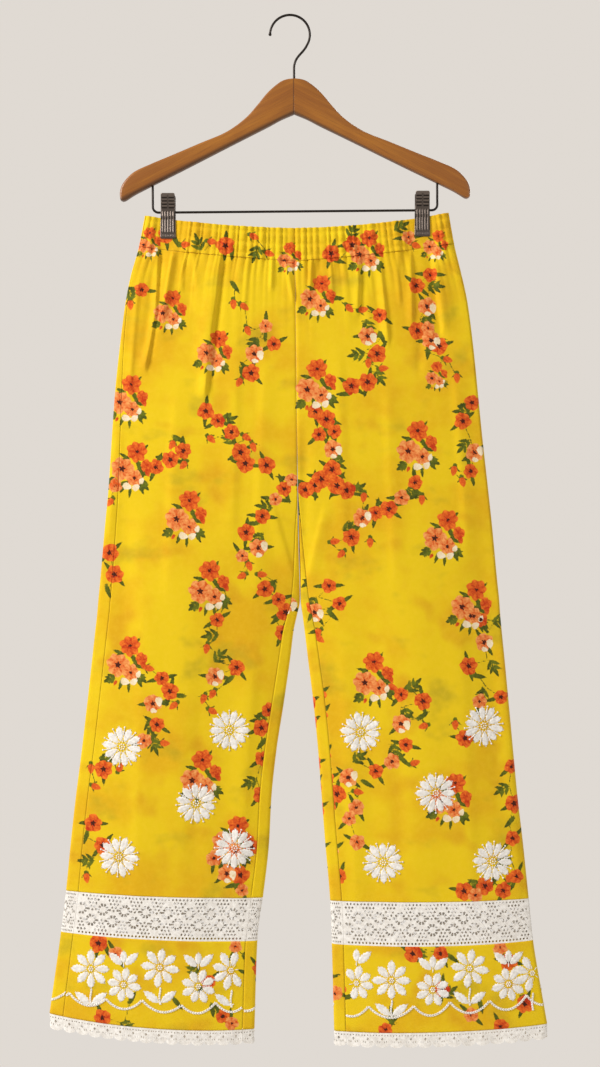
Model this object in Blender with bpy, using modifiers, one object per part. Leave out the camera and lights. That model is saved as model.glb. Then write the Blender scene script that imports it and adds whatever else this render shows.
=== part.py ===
"""Wide-legged summer trousers with lace bands, hung by two clips on a wooden hanger.

Lengths in the tables are millimetres. The origin is the inner top of the hook,
the wearer's front faces -Y, up is +Z, and every drop is measured down from the origin.
Left and right are as seen from the front.
"""
import math

import bmesh
import bpy
import numpy as np
from mathutils import Matrix

PART_NAME = "hung_trousers"
MM = 0.001
WALL = 1.5
LACE_WALL = 1.2
SEAM = 0.3
TRIM = SEAM / 2

YELLOW = (0.86, 0.55, 0.03, 1.0)
LACE_WHITE = (0.88, 0.84, 0.76, 1.0)
WOOD = (0.36, 0.14, 0.04, 1.0)
DARK_METAL = (0.05, 0.045, 0.04, 1.0)
CLIP_METAL = (0.12, 0.10, 0.09, 1.0)

# Levels of the trousers, numbered from 0 at the top of the waistband.
BAND_TOP, WAIST, CROTCH, LACE_TOP, LACE_LOW, HEM = 0, 1, 7, 18, 19, 20

COLUMNS = (
    "drop_out", "x_out", "drop_in", "x_in", "sag", "front", "back",
    "edge", "close", "wrap_out", "wrap_in", "bow", "pinch",
)

ROWS = {
    "left": np.array([
        # out drop, x,       in drop, x,     sag, front, back, edge, close, w_out, w_in, bow, pinch
        (248.6, -180.2, 264.8, 6.0, 0.0, 6.0, 5.0, 2.2, 0.0, 3.0, 0.0, 0.90, 1.00),
        (287.1, -187.7, 305.8, 6.2, 0.0, 7.0, 5.8, 2.2, 0.0, 3.0, 0.0, 0.45, 1.00),
        (321.9, -197.6, 326.9, 6.5, 0.0, 8.0, 6.2, 2.6, 0.0, 3.2, 0.0, 0.20, 0.60),
        (353.0, -203.9, 356.7, 6.8, 0.0, 9.0, 6.6, 2.8, 0.0, 4.5, 0.0, 0.00, 0.20),
        (408.9, -211.3, 411.4, 7.5, 0.0, 10.5, 7.8, 3.0, 0.0, 7.0, 0.0, 0.00, 0.05),
        (464.9, -217.2, 466.1, 8.1, 0.0, 12.0, 8.8, 3.2, 0.0, 10.5, 0.0, 0.00, 0.00),
        (520.8, -221.3, 522.1, 8.7, 0.0, 13.0, 9.6, 3.2, 0.0, 13.0, 0.0, 0.00, 0.00),
        (585.5, -225.5, 585.5, 9.3, 0.0, 13.5, 10.0, 3.2, 0.0, 15.0, 0.0, 0.00, 0.00),
        (638.9, -230.5, 638.9, 9.9, 0.0, 13.5, 10.0, 3.2, 0.35, 16.5, 4.0, 0.00, 0.00),
        (694.8, -235.3, 694.8, 11.2, 0.0, 13.5, 10.0, 3.2, 0.75, 17.5, 9.0, 0.00, 0.00),
        (725.9, -238.3, 725.9, 11.6, 0.0, 13.5, 10.0, 3.2, 1.0, 18.0, 13.0, 0.00, 0.00),
        (744.6, -239.9, 744.6, 8.7, 0.0, 13.5, 10.0, 3.2, 1.0, 18.0, 14.5, 0.00, 0.00),
        (763.2, -242.0, 763.2, 4.7, 0.0, 13.5, 10.0, 3.2, 1.0, 18.0, 15.5, 0.00, 0.00),
        (800.5, -246.1, 800.5, 0.0, 0.0, 13.5, 10.0, 3.2, 1.0, 18.0, 16.5, 0.00, 0.00),
        (856.4, -252.3, 856.4, -8.1, 0.0, 13.5, 10.0, 3.2, 1.0, 18.0, 17.0, 0.00, 0.00),
        (912.4, -258.8, 912.4, -16.8, 0.0, 13.5, 10.0, 3.2, 1.0, 18.0, 17.0, 0.00, 0.00),
        (968.3, -266.0, 970.8, -23.0, 0.5, 13.5, 10.0, 3.2, 1.0, 18.0, 17.0, 0.00, 0.00),
        (1024.2, -272.2, 1029.2, -26.1, 1.0, 13.5, 10.0, 3.2, 1.0, 18.0, 17.0, 0.00, 0.00),
        (1086.4, -278.4, 1095.1, -33.6, 1.6, 13.0, 10.0, 3.2, 1.0, 18.5, 17.0, 0.00, 0.00),
        (1137.3, -284.6, 1148.5, -40.4, 2.6, 13.0, 10.0, 3.2, 1.0, 18.5, 17.0, 0.00, 0.00),
        (1238.8, -298.9, 1257.9, -44.1, 6.5, 12.0, 9.5, 3.2, 1.0, 20.0, 17.0, 0.00, 0.00),
    ]),
    "right": np.array([
        (244.9, 197.0, 264.8, 6.0, 0.0, 6.0, 5.0, 2.2, 0.0, 3.0, 0.0, 0.90, 1.00),
        (283.4, 203.9, 305.8, 6.2, 0.0, 7.0, 5.8, 2.2, 0.0, 3.0, 0.0, 0.45, 1.00),
        (319.5, 212.6, 326.9, 6.5, 0.0, 8.0, 6.2, 2.6, 0.0, 3.0, 0.0, 0.20, 0.60),
        (353.0, 220.0, 356.7, 6.8, 0.0, 9.0, 6.6, 2.8, 0.0, 3.0, 0.0, 0.00, 0.20),
        (408.9, 227.5, 411.4, 7.5, 0.0, 10.5, 7.8, 3.0, 0.0, 3.0, 0.0, 0.00, 0.05),
        (464.9, 233.2, 466.1, 8.1, 0.0, 12.0, 8.8, 3.2, 0.0, 3.0, 0.0, 0.00, 0.00),
        (520.8, 238.7, 522.1, 8.7, 0.0, 13.0, 9.6, 3.2, 0.0, 3.0, 0.0, 0.00, 0.00),
        (585.5, 245.9, 585.5, 9.7, 0.0, 13.5, 10.0, 3.2, 0.0, 3.0, 0.0, 0.00, 0.00),
        (638.9, 251.6, 638.9, 10.9, 0.0, 13.5, 10.0, 3.2, 0.35, 3.0, 4.0, 0.00, 0.00),
        (694.8, 256.8, 694.8, 12.7, 0.0, 13.5, 10.0, 3.2, 0.75, 3.0, 9.0, 0.00, 0.00),
        (725.9, 260.0, 725.9, 13.7, 0.0, 13.5, 10.0, 3.2, 1.0, 3.0, 13.0, 0.00, 0.00),
        (744.6, 261.3, 744.6, 15.5, 0.0, 13.5, 10.0, 3.2, 1.0, 3.0, 14.5, 0.00, 0.00),
        (763.2, 263.0, 763.2, 17.9, 0.0, 13.5, 10.0, 3.2, 1.0, 3.0, 15.5, 0.00, 0.00),
        (800.5, 266.7, 800.5, 22.4, 0.0, 13.5, 10.0, 3.2, 1.0, 3.0, 16.5, 0.00, 0.00),
        (856.4, 272.0, 856.4, 29.3, 0.0, 13.5, 10.0, 3.2, 1.0, 3.0, 17.0, 0.00, 0.00),
        (912.4, 277.2, 912.4, 34.8, 0.0, 13.5, 10.0, 3.2, 1.0, 3.0, 17.0, 0.00, 0.00),
        (968.3, 282.5, 969.5, 39.2, 0.3, 13.5, 10.0, 3.2, 1.0, 3.0, 17.0, 0.00, 0.00),
        (1024.2, 289.1, 1025.5, 43.5, 0.8, 13.5, 10.0, 3.2, 1.0, 3.0, 17.0, 0.00, 0.00),
        (1096.1, 296.6, 1098.8, 49.7, 1.4, 13.0, 10.0, 3.2, 1.0, 3.0, 17.0, 0.00, 0.00),
        (1147.9, 302.0, 1152.3, 51.8, 3.2, 13.0, 10.0, 3.2, 1.0, 3.0, 17.0, 0.00, 0.00),
        (1251.7, 319.5, 1260.4, 54.7, 3.6, 12.0, 9.5, 3.2, 1.0, 3.0, 17.0, 0.00, 0.00),
    ]),
}

CLIP_X = {"left": -151.3, "right": 164.3}
PINCH_WIDTH = 26.0

# Folds: side, face, x and drop at the top, x and drop at the foot, height out (+) or in (-),
# half width, length over which the fold fades at each end.
FOLDS = (
    ("left", "front", -161.5, 290.0, -179.0, 435.0, -2.6, 8.0, 30.0),
    ("left", "front", -150.0, 290.0, -166.0, 420.0, 1.6, 8.0, 30.0),
    ("left", "front", -85.8, 300.0, -102.5, 470.0, -2.8, 8.0, 34.0),
    ("left", "front", -96.0, 300.0, -114.0, 450.0, 1.8, 8.0, 34.0),
    ("left", "front", -124.0, 300.0, -128.0, 380.0, -1.6, 8.0, 26.0),
    ("left", "front", -205.0, 600.0, -206.0, 790.0, -2.2, 15.0, 60.0),
    ("left", "front", -120.0, 640.0, -150.0, 1080.0, 2.0, 34.0, 120.0),
    ("left", "front", -75.0, 700.0, -90.0, 1230.0, -1.8, 26.0, 120.0),
    ("right", "front", 30.0, 305.0, 29.0, 372.0, -2.0, 8.0, 22.0),
    ("right", "front", 88.0, 300.0, 87.0, 400.0, -2.0, 8.0, 30.0),
    ("right", "front", 110.0, 300.0, 107.0, 420.0, -1.8, 8.0, 30.0),
    ("right", "front", 174.0, 288.0, 190.0, 420.0, -2.8, 8.0, 32.0),
    ("right", "front", 185.0, 288.0, 201.0, 400.0, 1.6, 8.0, 32.0),
    ("right", "front", 18.5, 515.0, 17.5, 730.0, -1.8, 8.0, 50.0),
    ("right", "front", 150.0, 620.0, 175.0, 1080.0, 2.0, 34.0, 120.0),
    ("right", "front", 95.0, 700.0, 105.0, 1230.0, -1.8, 26.0, 120.0),
    ("right", "front", 235.0, 640.0, 262.0, 1000.0, -1.6, 16.0, 90.0),
    ("left", "back", -150.0, 300.0, -166.0, 450.0, 2.2, 12.0, 40.0),
    ("left", "back", -70.0, 300.0, -84.0, 480.0, -2.0, 12.0, 40.0),
    ("left", "back", -130.0, 640.0, -160.0, 1180.0, 2.0, 34.0, 120.0),
    ("left", "back", -70.0, 700.0, -95.0, 1230.0, -1.6, 26.0, 120.0),
    ("right", "back", 82.0, 300.0, 92.0, 470.0, -2.0, 12.0, 40.0),
    ("right", "back", 168.0, 300.0, 184.0, 440.0, 2.0, 12.0, 40.0),
    ("right", "back", 150.0, 620.0, 180.0, 1180.0, 2.0, 34.0, 120.0),
    ("right", "back", 95.0, 700.0, 112.0, 1230.0, -1.6, 26.0, 120.0),
)

GATHERS = 18
GATHER_HEIGHT = 1.5
GATHER_FADE = 17.0

FRONT_COLUMNS = 36
LEG_LEVELS = (1, 1.45, 2.2, 3, 4, 5, 6, 7, 8, 9.3, 11, 12.6, 14, 16, 18)
LACE_LEVELS = (LACE_TOP, 18.5, LACE_LOW)
HEM_LEVELS = (LACE_LOW, 19.35, 19.7, HEM)

SCALLOPS = 14
EDGING_STRAIGHT = 13.6
EDGING_LOBE = 5.0

HANGER_TILT = math.radians(0.5)
HANGER_AXIS_X = 4.3
HANGER_THICKNESS = 12.0
# Outline of one arm from the axis outward along the top and back along the underside.
ARM_TOP = (
    (0.0, 78.6), (9.0, 79.6), (18.0, 83.4), (32.4, 95.4), (46.0, 111.5), (61.3, 128.0),
    (85.2, 144.6), (118.0, 158.2), (152.5, 172.6), (178.0, 183.0), (199.9, 193.2), (213.0, 206.4),
    (217.3, 218.0), (216.8, 227.4),
)
ARM_UNDER = (
    (210.2, 228.0), (198.0, 220.4), (176.4, 209.5), (140.0, 191.6), (104.6, 173.8),
    (68.0, 155.4), (32.8, 137.9), (16.0, 129.0), (0.0, 122.3),
)

WIRE = 1.5
HOLE = 1.8
HOOK_CENTRE = (0.0, -23.6)
HOOK_RADIUS = 24.7
HOOK_NECK = ((20.2, -38.4), (16.4, -43.6), (11.4, -49.2), (7.6, -54.6), (5.6, -60.6), (5.08, -67.0))
SHANK_X = 4.5
SHANK_END = -96.0
SHANK_BORE = 38.0

BAR_X = (-172.4, 181.0)
BAR_DROP = 243.1
BAR_TOP = 205.0
BAR_BEND = 7.0
BAR_BORE = 31.0

CLIP_WIDTH = 19.3
SLEEVE = 3.1
SLEEVE_LENGTH = 14.0
# Side view of a jaw: distance out from the cloth's middle and height over the wire.
JAW_IN = ((2.5, -32.5), (2.5, -9.0), (3.5, -5.0), (3.5, 4.0), (8.4, 22.0))
JAW_OUT = ((9.9, 22.3), (5.0, 4.4), (5.0, -5.4), (4.2, -9.4), (4.2, -31.4), (3.4, -32.9))


def clear_scene():
    for item in list(bpy.data.objects):
        bpy.data.objects.remove(item, do_unlink=True)


def material(name, colour, roughness=0.8, metallic=0.0):
    made = bpy.data.materials.new(name)
    made.use_nodes = True
    shader = made.node_tree.nodes["Principled BSDF"]
    shader.inputs["Base Color"].default_value = colour
    shader.inputs["Roughness"].default_value = roughness
    shader.inputs["Metallic"].default_value = metallic
    made.diffuse_color = colour
    return made


def smooth(thing):
    """Shade round faces smooth and keep the true corners."""
    thing.data.shade_smooth()
    thing.data.set_sharp_from_angle(angle=math.radians(35))


def add_body(name, vertices, faces, colour, roughness=0.8, metallic=0.0):
    """One closed body from points in millimetres, its faces turned outward."""
    mesh = bpy.data.meshes.new(name)
    mesh.from_pydata([tuple(float(c) * MM for c in v) for v in vertices], [], faces)
    body = bmesh.new()
    body.from_mesh(mesh)
    bmesh.ops.recalc_face_normals(body, faces=body.faces)
    body.to_mesh(mesh)
    body.free()
    thing = bpy.data.objects.new(name, mesh)
    thing.data.materials.append(material(name + "_colour", colour, roughness, metallic))
    bpy.data.collections[PART_NAME].objects.link(thing)
    smooth(thing)
    return thing


def eased_row(table, place):
    """A row of the table at a place between its levels, eased through its neighbours."""
    below = min(int(place), len(table) - 2)
    part = place - below
    step = np.diff(table, axis=0)
    both = step[:-1] * step[1:]
    slope = np.zeros_like(table)
    total = np.where(both > 0, step[:-1] + step[1:], 1.0)
    slope[1:-1] = np.where(both > 0, 2 * both / total, 0.0)
    slope[0] = step[0]
    slope[-1] = step[-1]
    square = part * part
    cube = square * part
    return (
        (2 * cube - 3 * square + 1) * table[below]
        + (cube - 2 * square + part) * slope[below]
        + (3 * square - 2 * cube) * table[below + 1]
        + (cube - square) * slope[below + 1]
    )


def rounding(distance, radius):
    """Height of a round edge at a distance from its tip, as a part of its radius."""
    part = np.clip(distance / radius, 0.0, 1.0)
    return np.sqrt(1 - (1 - part) ** 2)


class Level:
    """One horizontal cut through half of the trousers, as an arc-length path.

    The path coordinate is 0 at the outer edge, grows along the front towards the
    middle and falls along the back.
    """

    def __init__(self, side, place):
        self.side = side
        self.row = dict(zip(COLUMNS, eased_row(ROWS[side], place)))
        self.closed = place >= CROTCH
        row = self.row
        across = 0.5 - 0.5 * np.cos(np.linspace(0, np.pi, 321))
        x = row["x_out"] + (row["x_in"] - row["x_out"]) * across
        width = abs(row["x_in"] - row["x_out"])
        close = row["close"]
        tips = rounding(width * across, row["edge"])
        tips = tips * ((1 - close) + close * rounding(width * (1 - across), row["edge"]))
        swell = (1 - close) * (1 - (1 - across) ** 2.6)
        swell = swell + close * (1 - np.abs(2 * across - 1) ** 2.6)
        near_clip = np.exp(-((x - CLIP_X[side]) / PINCH_WIDTH) ** 4)
        swell = swell * (1 - row["pinch"] * near_clip)
        front = -(row["edge"] * tips + (row["front"] - row["edge"]) * swell)
        back = row["edge"] * tips + (row["back"] - row["edge"]) * swell
        front_run = np.stack([x, front, across], 1)
        back_run = np.stack([x, back, across], 1)
        face = np.linspace(0, 1, 25)[:, None]
        face_run = front_run[-1] + (back_run[-1] - front_run[-1]) * face
        if self.closed:
            parts = [front_run[160:], face_run, back_run[::-1], front_run, face_run]
            parts.append(back_run[::-1][:160])
            lead = 161 + 25
        else:
            parts = [back_run[::-1], front_run]
            lead = 0
        run = np.concatenate(parts)
        length = np.concatenate([[0], np.cumsum(np.hypot(*np.diff(run[:, :2], axis=0).T))])
        origin = length[lead + 321]
        self.front_length = length[lead + 641] - origin
        self.back_length = origin - length[lead]
        self.face_length = abs(back_run[-1, 1] - front_run[-1, 1]) if self.closed else 0.0
        length = length - origin
        self.at = np.arange(length[0], length[-1], 0.35)
        self.x, self.y, self.across = (np.interp(self.at, length, run[:, i]) for i in range(3))
        kernel = np.ones(7) / 7
        padded_x = np.pad(self.x, 3, mode="reflect", reflect_type="odd")
        padded_y = np.pad(self.y, 3, mode="reflect", reflect_type="odd")
        run_x = np.gradient(np.convolve(padded_x, kernel, mode="valid"))
        run_y = np.gradient(np.convolve(padded_y, kernel, mode="valid"))
        size = np.hypot(run_x, run_y) + 1e-9
        turn = 1.0 if row["x_in"] > row["x_out"] else -1.0
        self.normal_x = -turn * run_y / size
        self.normal_y = turn * run_x / size

    def front_seams(self):
        return ((0, self.row["wrap_out"]), (-1, self.front_length - self.row["wrap_in"]))

    def back_seams(self):
        inner = -self.back_length
        if self.closed:
            inner -= self.face_length + self.row["wrap_in"]
        return ((0, self.row["wrap_out"]), (-1, inner))

    def drop(self, across):
        row = self.row
        bent = (1 - row["bow"]) * across + row["bow"] * (1 - (1 - across) ** 2)
        fall = row["drop_out"] + (row["drop_in"] - row["drop_out"]) * bent
        return fall + row["sag"] * 4 * across * (1 - across)

    def points(self, stations, ruffle=0.0, lower=0.0, seams=()):
        """Points and inward directions at stations along the path.

        The two panels at a seam share one direction there, taken on the seam itself.
        """
        x = np.interp(stations, self.at, self.x)
        y = np.interp(stations, self.at, self.y)
        across = np.interp(stations, self.at, self.across)
        aim = np.array(stations)
        for end, seam in seams:
            aim[end] = seam
        inward = np.stack([
            np.interp(aim, self.at, self.normal_x),
            np.interp(aim, self.at, self.normal_y),
            np.zeros(len(aim)),
        ], 1)
        inward /= np.linalg.norm(inward, axis=1)[:, None]
        drop = self.drop(across)
        width = abs(self.row["x_in"] - self.row["x_out"])
        calm = rounding(width * across, 14.0)
        if self.row["close"] > 0:
            calm = calm * rounding(width * (1 - across) + 14.0 * (1 - self.row["close"]), 14.0)
        out = fold_height(self.side, x, y, drop) * calm
        out = out + ruffle * calm * (1 - np.exp(-((x - CLIP_X[self.side]) / 17.0) ** 4))
        spot = np.stack([x, y, -(drop + lower)], 1) - inward * out[:, None]
        return spot, inward


def fold_height(side, x, y, drop):
    height = np.zeros(len(x))
    for fold_side, face, x_top, top, x_low, low, rise, spread, fade in FOLDS:
        if fold_side != side:
            continue
        on_face = (y < 0) if face == "front" else (y > 0)
        middle = x_top + (x_low - x_top) * np.clip((drop - top) / (low - top), 0, 1)
        start = np.clip((drop - top + fade * 0.35) / fade, 0, 1)
        finish = np.clip((low - drop) / fade, 0, 1)
        window = (start * start * (3 - 2 * start)) * (finish * finish * (3 - 2 * finish))
        height = height + on_face * rise * window * np.exp(-((x - middle) / spread) ** 2)
    return height


def spaced(count, ease_first, ease_last):
    """Stations from 0 to 1, closer together at the ends that are eased."""
    gaps = np.ones(count)
    if ease_first:
        gaps[:3] = (0.3, 0.45, 0.7)
    if ease_last:
        gaps[-3:] = (0.7, 0.45, 0.3)
    return np.concatenate([[0], np.cumsum(gaps)]) / gaps.sum()


def front_stations(level, count):
    row = level.row
    start = row["wrap_out"] + TRIM
    end = level.front_length - row["wrap_in"] - TRIM
    return start + (end - start) * spaced(count, True, level.closed or count < 50)


def back_stations(level, count):
    row = level.row
    wrap = row["wrap_out"]
    around = [wrap - TRIM, 0.35 * wrap, 0.1 * wrap, -0.9, -2.6, -5.5, -10.0]
    end = -level.back_length + (0.0 if level.closed else TRIM)
    rest = np.linspace(-10.0, end, count + 1)[1:]
    return np.concatenate([around, rest])


def inner_stations(level, count):
    """From the inner back corner round the inside of the leg to the front seam."""
    row = level.row
    start = -level.back_length
    end = start - level.face_length - row["wrap_in"] + TRIM
    return np.linspace(start, end, count + 1)[1:]


def close_sheet(name, spots, inward, triangles, wall, colour, roughness=0.85):
    """Give an open sheet its wall and close its edges, as one body."""
    count = len(spots)
    vertices = np.concatenate([spots, spots + inward * wall])
    faces = [tuple(t) for t in triangles]
    faces += [(c + count, b + count, a + count) for a, b, c in triangles]
    directed = {(t[i], t[(i + 1) % 3]) for t in triangles for i in range(3)}
    for a, b in sorted(directed):
        if (b, a) not in directed:
            faces.append((b, a, a + count))
            faces.append((b, a + count, b + count))
    return add_body(name, vertices, faces, colour, roughness)


def grid_triangles(index):
    """Two triangles for each cell of a grid of point numbers; -1 marks a missing point."""
    found = []
    for r in range(index.shape[0] - 1):
        for c in range(index.shape[1] - 1):
            a, b = int(index[r, c]), int(index[r, c + 1])
            d, e = int(index[r + 1, c]), int(index[r + 1, c + 1])
            if min(a, b, d, e) < 0:
                continue
            if (r + c) % 2:
                found += [(a, d, b), (b, d, e)]
            else:
                found += [(a, d, e), (a, e, b)]
    return found


def ruffle_at(drop_below, count):
    """Gathers fading below the waist seam, one crest to every second station."""
    crest = 0.5 - 0.5 * np.cos(np.pi * np.arange(count + 1))
    return GATHER_HEIGHT * 0.8 * crest * math.exp(-max(drop_below, 0.0) / GATHER_FADE)


def seam_shift(place, levels):
    """Move the first and last rows of a panel off their seams."""
    if place == levels[0]:
        return TRIM
    if place == levels[-1] and place != HEM + 1:
        return -TRIM
    return 0.0


def front_panel(name, side, levels, count, wall, colour):
    spots = []
    inward = []
    for place in levels:
        level = Level(side, place)
        below = level.row["drop_in"] - ROWS[side][WAIST][2]
        ruffle = ruffle_at(below, count) if place < 4 else 0.0
        shift = seam_shift(place, levels)
        got, way = level.points(front_stations(level, count), ruffle, shift, level.front_seams())
        spots.append(got)
        inward.append(way)
    index = np.arange(len(levels) * (count + 1)).reshape(len(levels), count + 1)
    triangles = grid_triangles(index)
    return close_sheet(name, np.concatenate(spots), np.concatenate(inward), triangles, wall, colour)


def back_panel(name, side, levels, count, inner_count, wall, colour):
    """The back of one leg, carried round both edges to the seams on the front."""
    spots = []
    inward = []
    width = 7 + count + inner_count
    index = -np.ones((len(levels), width), int)
    total = 0
    for r, place in enumerate(levels):
        level = Level(side, place)
        stations = back_stations(level, count)
        if level.closed:
            stations = np.concatenate([stations, inner_stations(level, inner_count)])
        below = level.row["drop_in"] - ROWS[side][WAIST][2]
        ruffle = 0.0
        if place < 4:
            ruffle = ruffle_at(below, len(stations) - 1)
        got, way = level.points(stations, ruffle, seam_shift(place, levels), level.back_seams())
        spots.append(got)
        inward.append(way)
        index[r, :len(stations)] = np.arange(total, total + len(stations))
        total += len(stations)
    triangles = grid_triangles(index)
    return close_sheet(name, np.concatenate(spots), np.concatenate(inward), triangles, wall, colour)


def edging(name, side, face, scallops, colour):
    """The lace edging sewn under the hem, its lower edge in round lobes."""
    level = Level(side, HEM)
    row = level.row
    if face == "front":
        start = row["wrap_out"] + TRIM
        end = level.front_length - row["wrap_in"] - TRIM
    else:
        start = row["wrap_out"] - TRIM
        end = -level.back_length - level.face_length - row["wrap_in"] + TRIM
    phase = np.arange(scallops * 4 + 1) / 4.0
    stations = start + (end - start) * phase / scallops
    lobe = np.sqrt(np.clip(1 - (2 * (phase % 1.0) - 1) ** 2, 0, 1))
    seams = level.front_seams() if face == "front" else level.back_seams()
    top, way = level.points(stations, 0.0, TRIM, seams)
    foot, way = level.points(stations, 0.0, 0.0, seams)
    foot[:, 2] -= EDGING_STRAIGHT + EDGING_LOBE * lobe
    count = len(stations)
    index = np.arange(2 * count).reshape(2, count)
    spots = np.concatenate([top, foot])
    return close_sheet(name, spots, np.concatenate([way, way]), grid_triangles(index), LACE_WALL, colour)


def band_stations(level, face):
    """Four stations to a gather, from the side seam to the middle."""
    count = GATHERS * 4
    if face == "front":
        start = level.row["wrap_out"] + TRIM
        end = level.front_length
    else:
        start = level.row["wrap_out"] - TRIM
        end = -level.back_length
    return start + (end - start) * np.arange(count + 1) / count


def waistband(name, face):
    """The gathered band, one piece from side seam to side seam."""
    spots = []
    inward = []
    rows = (BAND_TOP, 0.22, WAIST)
    strength = (1.0, 0.45, 0.8)
    for place, strong in zip(rows, strength):
        halves = []
        for side in ("left", "right"):
            level = Level(side, place)
            stations = band_stations(level, face)
            crest = 0.5 - 0.5 * np.cos(2 * np.pi * np.arange(len(stations)) / 4)
            shift = -TRIM if place == WAIST else 0.0
            seams = ((0, level.row["wrap_out"]),)
            halves.append(level.points(stations, GATHER_HEIGHT * strong * crest, shift, seams))
        (left, left_way), (right, right_way) = halves
        join = (left[-1] + right[-1]) / 2
        spots.append(np.concatenate([left[:-1], join[None], right[:-1][::-1]]))
        inward.append(np.concatenate([left_way, right_way[:-1][::-1]]))
    across = len(spots[0])
    index = np.arange(len(rows) * across).reshape(len(rows), across)
    triangles = grid_triangles(index)
    return close_sheet(name, np.concatenate(spots), np.concatenate(inward), triangles, WALL, YELLOW)


def tilted(x, z):
    """A point of the hanger, which hangs half a degree up on the right."""
    return (
        x * math.cos(HANGER_TILT) - z * math.sin(HANGER_TILT),
        x * math.sin(HANGER_TILT) + z * math.cos(HANGER_TILT),
    )


def use_modifiers(thing):
    """Keep the shape that the modifiers give and drop them."""
    depsgraph = bpy.context.evaluated_depsgraph_get()
    made = bpy.data.meshes.new_from_object(thing.evaluated_get(depsgraph), depsgraph=depsgraph)
    thing.modifiers.clear()
    thing.data = made
    return thing


def round_cutter(name, x, z, length, tilt):
    """A round cutter with its middle at (x, 0, z), turned about Y from upright."""
    bpy.ops.mesh.primitive_cylinder_add(
        vertices=12, radius=HOLE * MM, depth=length * MM,
        location=(x * MM, 0.0, z * MM), rotation=(0.0, tilt, 0.0),
    )
    made = bpy.context.object
    made.name = name
    made.hide_render = True
    made.display_type = "WIRE"
    for holder in list(made.users_collection):
        holder.objects.unlink(made)
    bpy.data.collections["cutters"].objects.link(made)
    return made


def bore(thing, cutters):
    for hole in cutters:
        cut = thing.modifiers.new("bore", "BOOLEAN")
        cut.operation = "DIFFERENCE"
        cut.solver = "EXACT"
        cut.object = hole
        bpy.context.view_layer.update()
        use_modifiers(thing)
    return thing


def flat_body(name, outline, thickness, facing, colour, roughness, metallic):
    """A plate from a flat outline: facing holds the world ways of its x, y and thickness."""
    curve = bpy.data.curves.new(name, "CURVE")
    curve.dimensions = "2D"
    curve.fill_mode = "BOTH"
    curve.extrude = thickness / 2 * MM
    spline = curve.splines.new("POLY")
    spline.points.add(len(outline) - 1)
    for point, (x, y) in zip(spline.points, outline):
        point.co = (x * MM, y * MM, 0.0, 1.0)
    spline.use_cyclic_u = True
    holder = bpy.data.objects.new(name + "_outline", curve)
    bpy.context.scene.collection.objects.link(holder)
    depsgraph = bpy.context.evaluated_depsgraph_get()
    mesh = bpy.data.meshes.new_from_object(holder.evaluated_get(depsgraph), depsgraph=depsgraph)
    bpy.data.objects.remove(holder, do_unlink=True)
    mesh.transform(Matrix(facing).transposed().to_4x4())
    body = bmesh.new()
    body.from_mesh(mesh)
    bmesh.ops.remove_doubles(body, verts=body.verts, dist=0.00001)
    bmesh.ops.dissolve_limit(body, angle_limit=0.001, verts=body.verts, edges=body.edges)
    bmesh.ops.recalc_face_normals(body, faces=body.faces)
    body.to_mesh(mesh)
    body.free()
    mesh.name = name
    made = bpy.data.objects.new(name, mesh)
    mesh.materials.clear()
    mesh.materials.append(material(name + "_colour", colour, roughness, metallic))
    bpy.data.collections[PART_NAME].objects.link(made)
    return made


def hanger_arm(name, way, cutters):
    """One half of the wooden hanger, from the glue line to its tip."""
    outline = [
        tilted(HANGER_AXIS_X + way * max(x, TRIM), -drop) for x, drop in ARM_TOP + ARM_UNDER
    ]
    facing = ((1, 0, 0), (0, 0, 1), (0, 1, 0))
    arm = flat_body(name, outline, HANGER_THICKNESS, facing, WOOD, 0.35, 0.0)
    mesh = arm.data
    weights = mesh.attributes.new("bevel_weight_edge", "FLOAT", "EDGE")
    for edge in mesh.edges:
        a, b = (mesh.vertices[i].co / MM for i in edge.vertices)
        in_face = abs(a.y - b.y) < 0.01
        at_glue = all(abs(v.x - HANGER_AXIS_X + v.z * HANGER_TILT) < 0.6 for v in (a, b))
        weights.data[edge.index].value = 1.0 if in_face and not at_glue else 0.0
    bevel = arm.modifiers.new("round", "BEVEL")
    bevel.width = 3.4 * MM
    bevel.segments = 2
    bevel.limit_method = "WEIGHT"
    bpy.context.view_layer.update()
    use_modifiers(arm)
    bore(arm, cutters)
    smooth(arm)
    return arm


def wire(name, path, radii, colour, metallic=1.0):
    """A round wire along a path of (x, y, z) points."""
    curve = bpy.data.curves.new(name, "CURVE")
    curve.dimensions = "3D"
    curve.bevel_depth = MM
    curve.bevel_resolution = 2
    curve.use_fill_caps = True
    spline = curve.splines.new("POLY")
    spline.points.add(len(path) - 1)
    for point, spot, radius in zip(spline.points, path, radii):
        point.co = (spot[0] * MM, spot[1] * MM, spot[2] * MM, 1.0)
        point.radius = radius
    holder = bpy.data.objects.new(name + "_line", curve)
    bpy.context.scene.collection.objects.link(holder)
    depsgraph = bpy.context.evaluated_depsgraph_get()
    mesh = bpy.data.meshes.new_from_object(holder.evaluated_get(depsgraph), depsgraph=depsgraph)
    bpy.data.objects.remove(holder, do_unlink=True)
    body = bmesh.new()
    body.from_mesh(mesh)
    bmesh.ops.remove_doubles(body, verts=body.verts, dist=0.00001)
    bmesh.ops.recalc_face_normals(body, faces=body.faces)
    body.to_mesh(mesh)
    body.free()
    made = bpy.data.objects.new(name, mesh)
    made.data.materials.clear()
    made.data.materials.append(material(name + "_colour", colour, 0.35, metallic))
    bpy.data.collections[PART_NAME].objects.link(made)
    smooth(made)
    return made


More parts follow.
